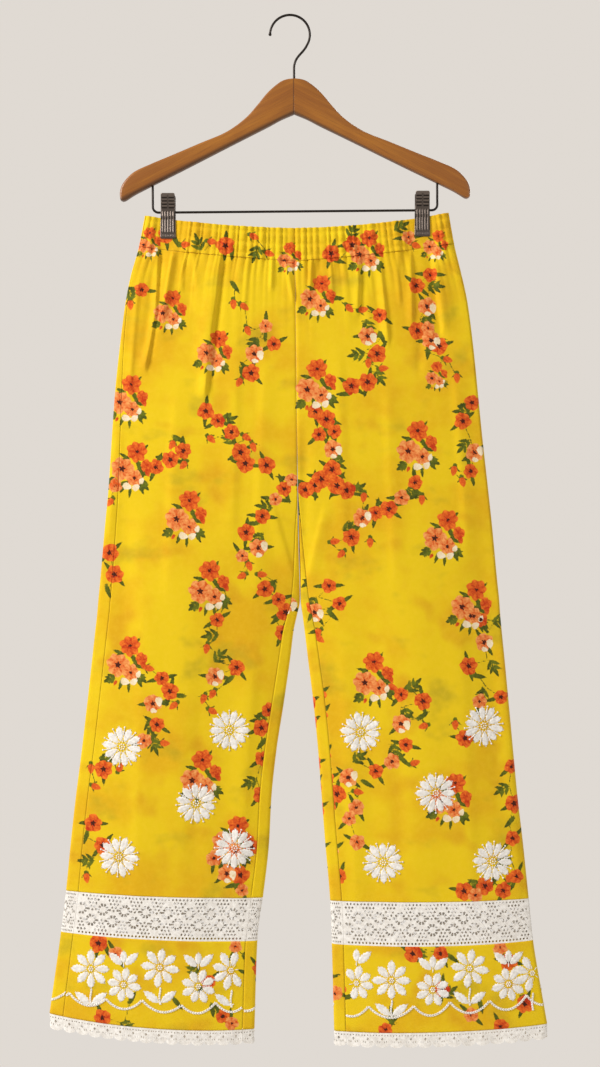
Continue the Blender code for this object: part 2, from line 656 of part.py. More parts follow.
def hook():
    path = []
    for angle in np.linspace(math.radians(175), math.radians(-34), 22):
        x = HOOK_CENTRE[0] + HOOK_RADIUS * math.cos(angle)
        path.append((x, 0.0, HOOK_CENTRE[1] + HOOK_RADIUS * math.sin(angle)))
    path += [(x, 0.0, z) for x, z in HOOK_NECK]
    foot = tilted(SHANK_X, SHANK_END)
    path.append((foot[0], 0.0, foot[1]))
    start = path[0]
    tip = [(start[0] - 0.1, 0.0, start[2] - d) for d in (3.4, 3.0, 2.2, 1.2, 0.5)]
    radii = [0.9, 1.7, 2.1, 2.0, 1.55] + [WIRE] * len(path)
    return wire("hook", tip + path, radii, DARK_METAL)


def crossbar():
    """The wire that hangs between the arms and carries the clips."""
    left, right = BAR_X
    path = [(left, -BAR_TOP)]
    for angle in np.linspace(180, 270, 5):
        a = math.radians(angle)
        path.append((left + BAR_BEND * (1 + math.cos(a)), -BAR_DROP + BAR_BEND * (1 + math.sin(a))))
    for angle in np.linspace(270, 360, 5):
        a = math.radians(angle)
        path.append((right - BAR_BEND * (1 - math.cos(a)), -BAR_DROP + BAR_BEND * (1 + math.sin(a))))
    path.append((right, -BAR_TOP))
    spots = []
    for x, z in path:
        tx, tz = tilted(x, z)
        spots.append((tx, 0.0, tz))
    return wire("crossbar", spots, [WIRE] * len(spots), DARK_METAL)


def bar_height(x):
    return tilted(x, -BAR_DROP)[1]


def jaw(name, side, way):
    """One jaw of a clip: a pressed plate with its finger tab bent away from the wire."""
    x = CLIP_X[side]
    outline = [(way * out, bar_height(x) + up) for out, up in JAW_IN + JAW_OUT]
    facing = ((0, 1, 0), (0, 0, 1), (1, 0, 0))
    made = flat_body(name, outline, CLIP_WIDTH, facing, CLIP_METAL, 0.4, 0.8)
    made.data.transform(Matrix.Translation((x * MM, 0.0, 0.0)))
    return made


def clip_spring(name, side):
    """The sprung sleeve on the wire between the two jaws."""
    x = CLIP_X[side]
    along = math.pi / 2 - HANGER_TILT
    bpy.ops.mesh.primitive_cylinder_add(
        vertices=12, radius=SLEEVE * MM, depth=SLEEVE_LENGTH * MM,
        location=(x * MM, 0.0, bar_height(x) * MM), rotation=(0.0, along, 0.0),
    )
    made = bpy.context.object
    made.name = name
    for holder in list(made.users_collection):
        holder.objects.unlink(made)
    bpy.data.collections[PART_NAME].objects.link(made)
    made.data.materials.append(material(name + "_colour", CLIP_METAL, 0.4, 0.8))
    hole = round_cutter("sleeve_bore_" + side, x, bar_height(x), SLEEVE_LENGTH * 2, along)
    bore(made, (hole,))
    smooth(made)
    return made


def make_cloth():
    waistband("waistband_front", "front")
    waistband("waistband_back", "back")
    for side in ("left", "right"):
        front_panel("leg_front_" + side, side, LEG_LEVELS, FRONT_COLUMNS, WALL, YELLOW)
        back_panel("leg_back_" + side, side, LEG_LEVELS, 17, 4, WALL, YELLOW)
        front_panel("lace_front_" + side, side, LACE_LEVELS, 22, LACE_WALL, LACE_WHITE)
        back_panel("lace_back_" + side, side, LACE_LEVELS, 14, 4, LACE_WALL, LACE_WHITE)
        front_panel("hem_band_front_" + side, side, HEM_LEVELS, 22, WALL, YELLOW)
        back_panel("hem_band_back_" + side, side, HEM_LEVELS, 14, 4, WALL, YELLOW)
        edging("edging_front_" + side, side, "front", SCALLOPS, LACE_WHITE)
        edging("edging_back_" + side, side, "back", SCALLOPS + 2, LACE_WHITE)


def make_hanger():
    x, z = tilted(SHANK_X, SHANK_END - 1.0 + SHANK_BORE / 2)
    shank = round_cutter("shank_bore", x, z, SHANK_BORE, -HANGER_TILT)
    bores = []
    for name, bar_x in zip(("left_bore", "right_bore"), BAR_X):
        x, z = tilted(bar_x, 1.0 - BAR_TOP - BAR_BORE / 2)
        bores.append(round_cutter(name, x, z, BAR_BORE, -HANGER_TILT))
    hanger_arm("hanger_arm_left", -1, (shank, bores[0]))
    hanger_arm("hanger_arm_right", 1, (shank, bores[1]))
    hook()
    crossbar()
    for side in ("left", "right"):
        jaw("clip_jaw_front_" + side, side, -1)
        jaw("clip_jaw_back_" + side, side, 1)
        clip_spring("clip_spring_" + side, side)


clear_scene()
for collection_name in (PART_NAME, "cutters"):
    collection = bpy.data.collections.new(collection_name)
    bpy.context.scene.collection.children.link(collection)
make_cloth()
make_hanger()
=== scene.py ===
# %% [markdown]
# # Printed palazzo trousers on a clip hanger
#
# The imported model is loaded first. It is the fixed frame: every piece made below sits where
# the model's own parts are, in metres, with the hook's inner top at the origin, the front
# towards -Y and up along +Z.

# %% Load the frame
import math

import bmesh
import bpy
import numpy as np
from mathutils import Matrix, Vector


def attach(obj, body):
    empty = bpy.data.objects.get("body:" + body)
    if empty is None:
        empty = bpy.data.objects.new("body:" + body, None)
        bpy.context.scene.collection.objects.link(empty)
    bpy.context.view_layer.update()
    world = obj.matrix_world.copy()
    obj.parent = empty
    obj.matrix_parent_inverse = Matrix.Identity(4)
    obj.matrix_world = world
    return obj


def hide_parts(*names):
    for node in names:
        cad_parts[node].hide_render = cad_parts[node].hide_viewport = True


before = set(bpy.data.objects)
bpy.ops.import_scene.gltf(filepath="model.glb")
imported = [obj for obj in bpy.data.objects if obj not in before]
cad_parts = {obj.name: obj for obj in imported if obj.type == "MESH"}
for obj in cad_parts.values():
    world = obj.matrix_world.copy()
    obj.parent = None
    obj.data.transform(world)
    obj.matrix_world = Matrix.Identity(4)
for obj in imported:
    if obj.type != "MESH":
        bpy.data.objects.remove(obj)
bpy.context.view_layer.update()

# %% [markdown]
# ## Camera
#
# The photograph is taken square on, from about two metres, with the lens level with the middle
# of the trousers. A camera that looks straight along +Y with a vertical sensor gives the same
# height of 1.326 m at the garment. An angled camera would show one side of the legs more.

# %% Camera
SENSOR = 36.0
VIEW_DISTANCE = 2.05
VIEW_HEIGHT = 1.326
VIEW_MIDDLE = (0.0124, -0.6433)

lens = bpy.data.cameras.new("camera")
lens.sensor_fit = "VERTICAL"
lens.sensor_height = SENSOR
lens.lens = SENSOR * VIEW_DISTANCE / VIEW_HEIGHT
lens.clip_end = 60.0
camera = bpy.data.objects.new("camera", lens)
camera.location = (VIEW_MIDDLE[0], -VIEW_DISTANCE, VIEW_MIDDLE[1])
camera.rotation_euler = (math.pi / 2, 0.0, 0.0)
bpy.context.scene.collection.objects.link(camera)
bpy.context.scene.camera = camera
print("lens", round(lens.lens, 2), "mm")

# %% [markdown]
# ## Light and surroundings
#
# The picture is made in soft daylight against a pale wall. A pale world gives the wall's colour
# and most of the light; one wide lamp high on the left gives the creases their soft shadows.
# The floor lies well under the hem, as under a rail, and out of the first view.

# %% Light, world and floor
WALL_COLOUR = (0.745, 0.700, 0.650, 1.0)
WALL_GLOW = 0.62
FLOOR_DROP = 1.95


def area_lamp(name, place, aim, width, height, watts, colour):
    """A soft rectangular lamp at a place, turned towards a point."""
    lamp = bpy.data.lights.new(name, "AREA")
    lamp.shape = "RECTANGLE"
    lamp.size = width
    lamp.size_y = height
    lamp.energy = watts
    lamp.color = colour
    made = bpy.data.objects.new(name, lamp)
    made.location = place
    made.rotation_euler = (Vector(aim) - Vector(place)).to_track_quat("-Z", "Y").to_euler()
    bpy.context.scene.collection.objects.link(made)
    return made


area_lamp("window", (-2.7, -1.5, 1.0), (0.0, 0.0, -0.6), 1.0, 1.8, 122.0, (1.0, 0.97, 0.93))
area_lamp("fill", (2.8, -2.8, 0.2), (0.0, 0.0, -0.7), 2.4, 2.4, 26.0, (1.0, 0.98, 0.95))
area_lamp("back_fill", (1.6, 3.0, 0.8), (0.0, 0.0, -0.6), 2.4, 2.4, 70.0, (1.0, 0.98, 0.95))

world = bpy.data.worlds.new("pale room")
world.use_nodes = True
seen = world.node_tree.nodes["Background"]
seen.inputs["Color"].default_value = WALL_COLOUR
cast = world.node_tree.nodes.new("ShaderNodeBackground")
cast.inputs["Color"].default_value = (*WALL_COLOUR[:3], 1.0)
cast.inputs["Strength"].default_value = WALL_GLOW
rays = world.node_tree.nodes.new("ShaderNodeLightPath")
either = world.node_tree.nodes.new("ShaderNodeMixShader")
world.node_tree.links.new(rays.outputs["Is Camera Ray"], either.inputs[0])
world.node_tree.links.new(cast.outputs[0], either.inputs[1])
world.node_tree.links.new(seen.outputs[0], either.inputs[2])
world.node_tree.links.new(either.outputs[0], world.node_tree.nodes["World Output"].inputs["Surface"])
bpy.context.scene.world = world
bpy.context.scene.view_settings.view_transform = "Standard"
bpy.context.scene.view_settings.look = "None"


def plain_material(name, colour, roughness, metallic=0.0):
    """A node material with one shader; its colour is refined by the caller."""
    made = bpy.data.materials.new(name)
    made.use_nodes = True
    shader = made.node_tree.nodes["Principled BSDF"]
    shader.inputs["Base Color"].default_value = (*colour, 1.0)
    shader.inputs["Roughness"].default_value = roughness
    shader.inputs["Metallic"].default_value = metallic
    return made, made.node_tree, shader


def floor_disc(radius):
    mesh = bpy.data.meshes.new("floor")
    body = bmesh.new()
    bmesh.ops.create_circle(body, cap_ends=True, radius=radius, segments=96)
    bmesh.ops.translate(body, verts=body.verts, vec=(0.0, 0.0, -FLOOR_DROP))
    body.to_mesh(mesh)
    body.free()
    made = bpy.data.objects.new("floor", mesh)
    bpy.context.scene.collection.objects.link(made)
    made.data.materials.append(plain_material("pale floor", (0.72, 0.69, 0.65), 0.8)[0])
    return made


floor_disc(1.7)

# %% [markdown]
# ## The hang of the cloth
#
# Trousers that hang from two clips keep a flat tube shape: each leg is a soft oval with a tight
# fold at its sides. The table gives one row for each horizontal cut through a half of the
# trousers, from the waistband down to the hem: where its outer and inner edges are, how deep
# it is at the front and back, and how far the back is carried round to the seams on the front.
# A sculpted mesh could give this form too, but a table keeps it on the model's own sizes.

# %% Table of cuts
MM = 0.001
WALL = 1.4
LACE_WALL = 1.0
TRIM = 0.15
LEVEL_TRIM = 0.04
BAND_TOP, WAIST, CROTCH, LACE_TOP, LACE_LOW, HEM = 0, 1, 7, 18, 19, 20
COLUMNS = (
    "drop_out", "x_out", "drop_in", "x_in", "sag", "front", "back",
    "edge", "close", "wrap_out", "wrap_in", "bow", "pinch",
)
ROWS = {
    "left": np.array([
        (248.6, -180.2, 264.8, 6.0, 0.0, 6.0, 5.0, 2.2, 0.0, 3.0, 0.0, 0.90, 1.00),
        (287.1, -187.7, 305.8, 6.2, 0.0, 7.0, 5.8, 2.2, 0.0, 3.0, 0.0, 0.45, 1.00),
        (321.9, -197.6, 326.9, 6.5, 0.0, 8.0, 6.2, 2.6, 0.0, 3.2, 0.0, 0.20, 0.60),
        (353.0, -203.9, 356.7, 6.8, 0.0, 9.0, 6.6, 2.8, 0.0, 4.5, 0.0, 0.00, 0.20),
        (408.9, -211.3, 411.4, 7.5, 0.0, 10.5, 7.8, 3.0, 0.0, 7.0, 0.0, 0.00, 0.05),
        (464.9, -217.2, 466.1, 8.1, 0.0, 12.0, 8.8, 3.2, 0.0, 10.5, 0.0, 0.00, 0.00),
        (520.8, -221.3, 522.1, 8.7, 0.0, 13.0, 9.6, 3.2, 0.0, 13.0, 0.0, 0.00, 0.00),
        (585.5, -225.5, 585.5, 9.3, 0.0, 13.5, 10.0, 3.2, 0.0, 15.0, 0.0, 0.00, 0.00),
        (638.9, -230.5, 638.9, 10.1, 0.0, 13.5, 10.0, 3.2, 0.35, 16.5, 4.0, 0.00, 0.00),
        (694.8, -235.3, 694.8, 11.7, 0.0, 13.5, 10.0, 3.2, 0.75, 17.5, 9.0, 0.00, 0.00),
        (725.9, -238.3, 725.9, 12.3, 0.0, 13.5, 10.0, 3.2, 1.0, 18.0, 13.0, 0.00, 0.00),
        (744.6, -239.9, 744.6, 8.7, 0.0, 13.5, 10.0, 3.2, 1.0, 18.0, 14.5, 0.00, 0.00),
        (763.2, -242.0, 763.2, 4.7, 0.0, 13.5, 10.0, 3.2, 1.0, 18.0, 15.5, 0.00, 0.00),
        (800.5, -246.1, 800.5, 0.0, 0.0, 13.5, 10.0, 3.2, 1.0, 18.0, 16.5, 0.00, 0.00),
        (856.4, -252.3, 856.4, -8.1, 0.0, 13.5, 10.0, 3.2, 1.0, 18.0, 17.0, 0.00, 0.00),
        (912.4, -258.8, 912.4, -16.8, 0.0, 13.5, 10.0, 3.2, 1.0, 18.0, 17.0, 0.00, 0.00),
        (968.3, -266.0, 970.8, -23.0, 0.5, 13.5, 10.0, 3.2, 1.0, 18.0, 17.0, 0.00, 0.00),
        (1024.2, -272.2, 1029.2, -26.1, 1.0, 13.5, 10.0, 3.2, 1.0, 18.0, 17.0, 0.00, 0.00),
        (1086.4, -278.4, 1095.1, -33.6, 1.6, 13.0, 10.0, 3.2, 1.0, 18.5, 17.0, 0.00, 0.00),
        (1137.3, -284.6, 1148.5, -40.4, 2.6, 13.0, 10.0, 3.2, 1.0, 18.5, 17.0, 0.00, 0.00),
        (1238.8, -298.9, 1257.9, -44.1, 6.5, 12.0, 9.5, 3.2, 1.0, 20.0, 17.0, 0.00, 0.00),
    ]),
    "right": np.array([
        (244.9, 197.0, 264.8, 6.0, 0.0, 6.0, 5.0, 2.2, 0.0, 3.0, 0.0, 0.90, 1.00),
        (283.4, 203.9, 305.8, 6.2, 0.0, 7.0, 5.8, 2.2, 0.0, 3.0, 0.0, 0.45, 1.00),
        (319.5, 212.6, 326.9, 6.5, 0.0, 8.0, 6.2, 2.6, 0.0, 3.0, 0.0, 0.20, 0.60),
        (353.0, 220.0, 356.7, 6.8, 0.0, 9.0, 6.6, 2.8, 0.0, 3.0, 0.0, 0.00, 0.20),
        (408.9, 227.5, 411.4, 7.5, 0.0, 10.5, 7.8, 3.0, 0.0, 3.0, 0.0, 0.00, 0.05),
        (464.9, 233.2, 466.1, 8.1, 0.0, 12.0, 8.8, 3.2, 0.0, 3.0, 0.0, 0.00, 0.00),
        (520.8, 238.7, 522.1, 8.7, 0.0, 13.0, 9.6, 3.2, 0.0, 3.0, 0.0, 0.00, 0.00),
        (585.5, 245.9, 585.5, 9.7, 0.0, 13.5, 10.0, 3.2, 0.0, 3.0, 0.0, 0.00, 0.00),
        (638.9, 251.6, 638.9, 10.6, 0.0, 13.5, 10.0, 3.2, 0.35, 3.0, 4.0, 0.00, 0.00),
        (694.8, 256.8, 694.8, 12.2, 0.0, 13.5, 10.0, 3.2, 0.75, 3.0, 9.0, 0.00, 0.00),
        (725.9, 260.0, 725.9, 13.0, 0.0, 13.5, 10.0, 3.2, 1.0, 3.0, 13.0, 0.00, 0.00),
        (744.6, 261.3, 744.6, 15.5, 0.0, 13.5, 10.0, 3.2, 1.0, 3.0, 14.5, 0.00, 0.00),
        (763.2, 263.0, 763.2, 17.9, 0.0, 13.5, 10.0, 3.2, 1.0, 3.0, 15.5, 0.00, 0.00),
        (800.5, 266.7, 800.5, 22.4, 0.0, 13.5, 10.0, 3.2, 1.0, 3.0, 16.5, 0.00, 0.00),
        (856.4, 272.0, 856.4, 29.3, 0.0, 13.5, 10.0, 3.2, 1.0, 3.0, 17.0, 0.00, 0.00),
        (912.4, 277.2, 912.4, 34.8, 0.0, 13.5, 10.0, 3.2, 1.0, 3.0, 17.0, 0.00, 0.00),
        (968.3, 282.5, 969.5, 39.2, 0.3, 13.5, 10.0, 3.2, 1.0, 3.0, 17.0, 0.00, 0.00),
        (1024.2, 289.1, 1025.5, 43.5, 0.8, 13.5, 10.0, 3.2, 1.0, 3.0, 17.0, 0.00, 0.00),
        (1096.1, 296.6, 1098.8, 49.7, 1.4, 13.0, 10.0, 3.2, 1.0, 3.0, 17.0, 0.00, 0.00),
        (1147.9, 302.0, 1152.3, 51.8, 3.2, 13.0, 10.0, 3.2, 1.0, 3.0, 17.0, 0.00, 0.00),
        (1251.7, 319.5, 1260.4, 54.7, 3.6, 12.0, 9.5, 3.2, 1.0, 3.0, 17.0, 0.00, 0.00),
    ]),
}
CLIP_X = {"left": -151.3, "right": 164.3}
PINCH_WIDTH = 26.0
print("cuts in each half", len(ROWS["left"]))

# %% [markdown]
# ## Folds and creases
#
# Two kinds of relief lie on that form. Broad folds run down the legs. Finer creases start under
# the waist seam and the clips, where the gathered cloth is held. Each has its own line, height
# and fade, given in millimetres; a crease is sharper on one side than on the other, as
# a pleat is. Noise alone would give even ripples that no hanging cloth has.

# %% Folds and creases
FOLDS = (
    # side, face, x and drop at the top, x and drop at the foot, rise, half width, fade
    ("left", "front", -161.5, 290.0, -179.0, 435.0, -2.6, 8.0, 30.0),
    ("left", "front", -150.0, 290.0, -166.0, 420.0, 1.6, 8.0, 30.0),
    ("left", "front", -85.8, 300.0, -102.5, 470.0, -2.8, 8.0, 34.0),
    ("left", "front", -96.0, 300.0, -114.0, 450.0, 1.8, 8.0, 34.0),
    ("left", "front", -124.0, 300.0, -128.0, 380.0, -1.6, 8.0, 26.0),
    ("left", "front", -205.0, 600.0, -206.0, 790.0, -2.2, 15.0, 60.0),
    ("left", "front", -120.0, 640.0, -150.0, 1080.0, 2.0, 34.0, 120.0),
    ("left", "front", -75.0, 700.0, -90.0, 1230.0, -1.8, 26.0, 120.0),
    ("right", "front", 30.0, 305.0, 29.0, 372.0, -2.0, 8.0, 22.0),
    ("right", "front", 88.0, 300.0, 87.0, 400.0, -2.0, 8.0, 30.0),
    ("right", "front", 110.0, 300.0, 107.0, 420.0, -1.8, 8.0, 30.0),
    ("right", "front", 174.0, 288.0, 190.0, 420.0, -2.8, 8.0, 32.0),
    ("right", "front", 185.0, 288.0, 201.0, 400.0, 1.6, 8.0, 32.0),
    ("right", "front", 18.5, 515.0, 17.5, 730.0, -1.8, 8.0, 50.0),
    ("right", "front", 150.0, 620.0, 175.0, 1080.0, 2.0, 34.0, 120.0),
    ("right", "front", 95.0, 700.0, 105.0, 1230.0, -1.8, 26.0, 120.0),
    ("right", "front", 235.0, 640.0, 262.0, 1000.0, -1.6, 16.0, 90.0),
    ("left", "back", -150.0, 300.0, -166.0, 450.0, 2.2, 12.0, 40.0),
    ("left", "back", -70.0, 300.0, -84.0, 480.0, -2.0, 12.0, 40.0),
    ("left", "back", -130.0, 640.0, -160.0, 1180.0, 2.0, 34.0, 120.0),
    ("left", "back", -70.0, 700.0, -95.0, 1230.0, -1.6, 26.0, 120.0),
    ("right", "back", 82.0, 300.0, 92.0, 470.0, -2.0, 12.0, 40.0),
    ("right", "back", 168.0, 300.0, 184.0, 440.0, 2.0, 12.0, 40.0),
    ("right", "back", 150.0, 620.0, 180.0, 1180.0, 2.0, 34.0, 120.0),
    ("right", "back", 95.0, 700.0, 112.0, 1230.0, -1.6, 26.0, 120.0),
)
CREASES = (
    # side, face, (x, drop) down the crest, rise, width on its left, width on its right, fade
    ("left", "front", ((-163.2, 290), (-166.6, 368), (-171.9, 401), (-178.6, 436)), 2.4, 6.0, 1.8, 22),
    ("left", "front", ((-144.9, 292), (-153.0, 341), (-158.0, 372)), 1.7, 1.8, 5.0, 20),
    ("left", "front", ((-85.8, 296), (-91.0, 347), (-96.5, 388), (-99.1, 414), (-104.5, 469)), 3.0, 8.0, 2.0, 34),
    ("left", "front", ((-131.8, 302), (-134.0, 340)), 1.0, 4.0, 2.2, 14),
    ("left", "front", ((-118.1, 301), (-117.0, 332)), 1.0, 2.2, 4.5, 14),
    ("left", "front", ((-22.4, 300), (-23.6, 338)), 1.6, 2.2, 4.0, 16),
    ("left", "front", ((-6.2, 304), (3.4, 352)), 1.5, 2.2, 4.0, 18),
    ("left", "front", ((-52.0, 300), (-57.0, 366)), 0.8, 4.0, 3.0, 22),
    ("left", "front", ((-188.0, 330), (-199.0, 470)), 0.9, 5.0, 3.0, 40),
    ("left", "front", ((-66.0, 420), (-72.0, 640)), 0.8, 12.0, 7.0, 80),
    ("left", "front", ((-140.0, 470), (-150.0, 700)), 0.8, 7.0, 14.0, 90),
    ("left", "front", ((-30.0, 430), (-42.0, 700)), 0.7, 7.0, 12.0, 90),
    ("left", "front", ((-214.0, 505), (-224.0, 640)), 0.8, 3.0, 7.0, 50),
    ("left", "front", ((-22.0, 610), (4.0, 700)), 0.9, 10.0, 4.0, 36),
    ("left", "front", ((-178.0, 720), (-190.0, 1085)), 0.8, 10.0, 20.0, 120),
    ("left", "front", ((-45.0, 790), (-66.0, 1085)), 0.9, 14.0, 9.0, 110),
    ("left", "front", ((-110.0, 820), (-118.0, 1060)), -0.7, 12.0, 12.0, 90),
    ("right", "front", ((27.1, 300), (24.2, 340)), 1.7, 2.0, 4.5, 16),
    ("right", "front", ((85.6, 300), (84.1, 366)), 2.2, 5.0, 2.0, 22),
    ("right", "front", ((111.2, 303), (121.3, 402)), 2.0, 5.5, 2.2, 28),
    ("right", "front", ((149.8, 296), (151.3, 380)), 1.8, 5.0, 2.0, 24),
    ("right", "front", ((177.0, 298), (189.8, 388)), 2.8, 2.0, 7.0, 26),
    ("right", "front", ((51.0, 300), (52.0, 350)), 0.8, 3.0, 4.0, 18),
    ("right", "front", ((132.0, 300), (136.0, 356)), 0.8, 4.0, 2.6, 18),
    ("right", "front", ((187.7, 309), (203.0, 318), (214.0, 328)), 0.9, 3.0, 3.0, 12),
    ("right", "front", ((163.0, 390), (160.0, 440)), -0.9, 6.0, 6.0, 24),
    ("right", "front", ((60.0, 420), (66.0, 640)), 0.7, 10.0, 7.0, 80),
    ("right", "front", ((120.0, 450), (130.0, 690)), 0.8, 7.0, 13.0, 90),
    ("right", "front", ((205.0, 440), (219.0, 640)), 0.9, 6.0, 12.0, 70),
    ("right", "front", ((44.0, 610), (22.0, 700)), 0.9, 4.0, 10.0, 36),
    ("right", "front", ((205.0, 700), (226.0, 1090)), 0.8, 18.0, 10.0, 120),
    ("right", "front", ((66.0, 790), (84.0, 1090)), 0.9, 9.0, 14.0, 110),
    ("right", "front", ((128.0, 820), (138.0, 1060)), -0.7, 12.0, 12.0, 90),
    ("right", "front", ((262.0, 760), (284.0, 1080)), 0.8, 10.0, 5.0, 90),
    ("left", "back", ((-168.0, 296), (-182.0, 430)), 1.6, 2.2, 6.0, 30),
    ("left", "back", ((-120.0, 300), (-127.0, 372)), 1.1, 5.0, 2.4, 22),
    ("left", "back", ((-92.0, 300), (-104.0, 440)), 1.5, 7.0, 2.4, 34),
    ("left", "back", ((-40.0, 302), (-43.0, 352)), 0.9, 3.0, 4.0, 18),
    ("left", "back", ((-16.0, 304), (-10.0, 340)), 0.9, 3.0, 4.0, 14),
    ("left", "back", ((-50.0, 440), (-60.0, 690)), 0.8, 7.0, 12.0, 90),
    ("left", "back", ((-150.0, 500), (-164.0, 760)), 0.8, 13.0, 8.0, 90),
    ("left", "back", ((-200.0, 660), (-214.0, 1080)), 0.8, 8.0, 16.0, 120),
    ("left", "back", ((-56.0, 800), (-74.0, 1085)), 0.8, 14.0, 9.0, 110),
    ("right", "back", ((178.0, 296), (194.0, 420)), 1.6, 6.0, 2.2, 30),
    ("right", "back", ((140.0, 300), (146.0, 366)), 1.0, 2.6, 4.5, 20),
    ("right", "back", ((104.0, 300), (112.0, 430)), 1.5, 2.4, 7.0, 34),
    ("right", "back", ((58.0, 302), (61.0, 350)), 0.9, 4.0, 3.0, 18),
    ("right", "back", ((26.0, 304), (21.0, 340)), 0.9, 3.0, 4.0, 14),
    ("right", "back", ((70.0, 450), (78.0, 700)), 0.8, 12.0, 7.0, 90),
    ("right", "back", ((170.0, 500), (182.0, 760)), 0.8, 8.0, 13.0, 90),
    ("right", "back", ((222.0, 660), (240.0, 1080)), 0.8, 16.0, 8.0, 120),
    ("right", "back", ((80.0, 800), (98.0, 1085)), 0.8, 9.0, 14.0, 110),
)


CREASE_RISE = 1.7


def eased(t):
    t = np.clip(t, 0.0, 1.0)
    return t * t * (3 - 2 * t)


def relief(side, x, y, drop):
    """Height of the folds and creases over the plain form, in millimetres."""
    height = np.zeros(len(x))
    for fold_side, face, x_top, top, x_low, low, rise, spread, fade in FOLDS:
        if fold_side == side:
            on_face = (y < 0) if face == "front" else (y > 0)
            middle = x_top + (x_low - x_top) * np.clip((drop - top) / (low - top), 0, 1)
            window = eased((drop - top + fade * 0.35) / fade) * eased((low - drop) / fade)
            height += on_face * rise * window * np.exp(-((x - middle) / spread) ** 2)
    for crease_side, face, line, rise, left, right, fade in CREASES:
        if crease_side == side:
            on_face = (y < 0) if face == "front" else (y > 0)
            crest_x, crest_drop = np.array(line, float).T
            middle = np.interp(drop, crest_drop, crest_x)
            start = eased((drop - crest_drop[0] + fade * 0.4) / fade)
            window = start * eased((crest_drop[-1] + fade * 0.6 - drop) / fade)
            width = np.where(x < middle, left, right)
            height += on_face * CREASE_RISE * rise * window * np.exp(-((x - middle) / width) ** 2)
    return height


print("folds", len(FOLDS), "creases", len(CREASES))

# %% [markdown]
# ## One horizontal cut
#
# A cut is a closed path round a leg. Its points are asked for by length along the cloth, so a
# panel keeps its width however it folds, and a print laid by that length isn't stretched.

# %% Cut through a leg


def eased_row(table, place):
    """A row of the table at a place between its levels, eased through its neighbours."""
    below = min(int(place), len(table) - 2)
    part = place - below
    step = np.diff(table, axis=0)
    both = step[:-1] * step[1:]
    slope = np.zeros_like(table)
    total = np.where(both > 0, step[:-1] + step[1:], 1.0)
    slope[1:-1] = np.where(both > 0, 2 * both / total, 0.0)
    slope[0] = step[0]
    slope[-1] = step[-1]
    square = part * part
    cube = square * part
    return (
        (2 * cube - 3 * square + 1) * table[below]
        + (cube - 2 * square + part) * slope[below]
        + (3 * square - 2 * cube) * table[below + 1]
        + (cube - square) * slope[below + 1]
    )


def rounding(distance, radius):
    part = np.clip(distance / radius, 0.0, 1.0)
    return np.sqrt(1 - (1 - part) ** 2)


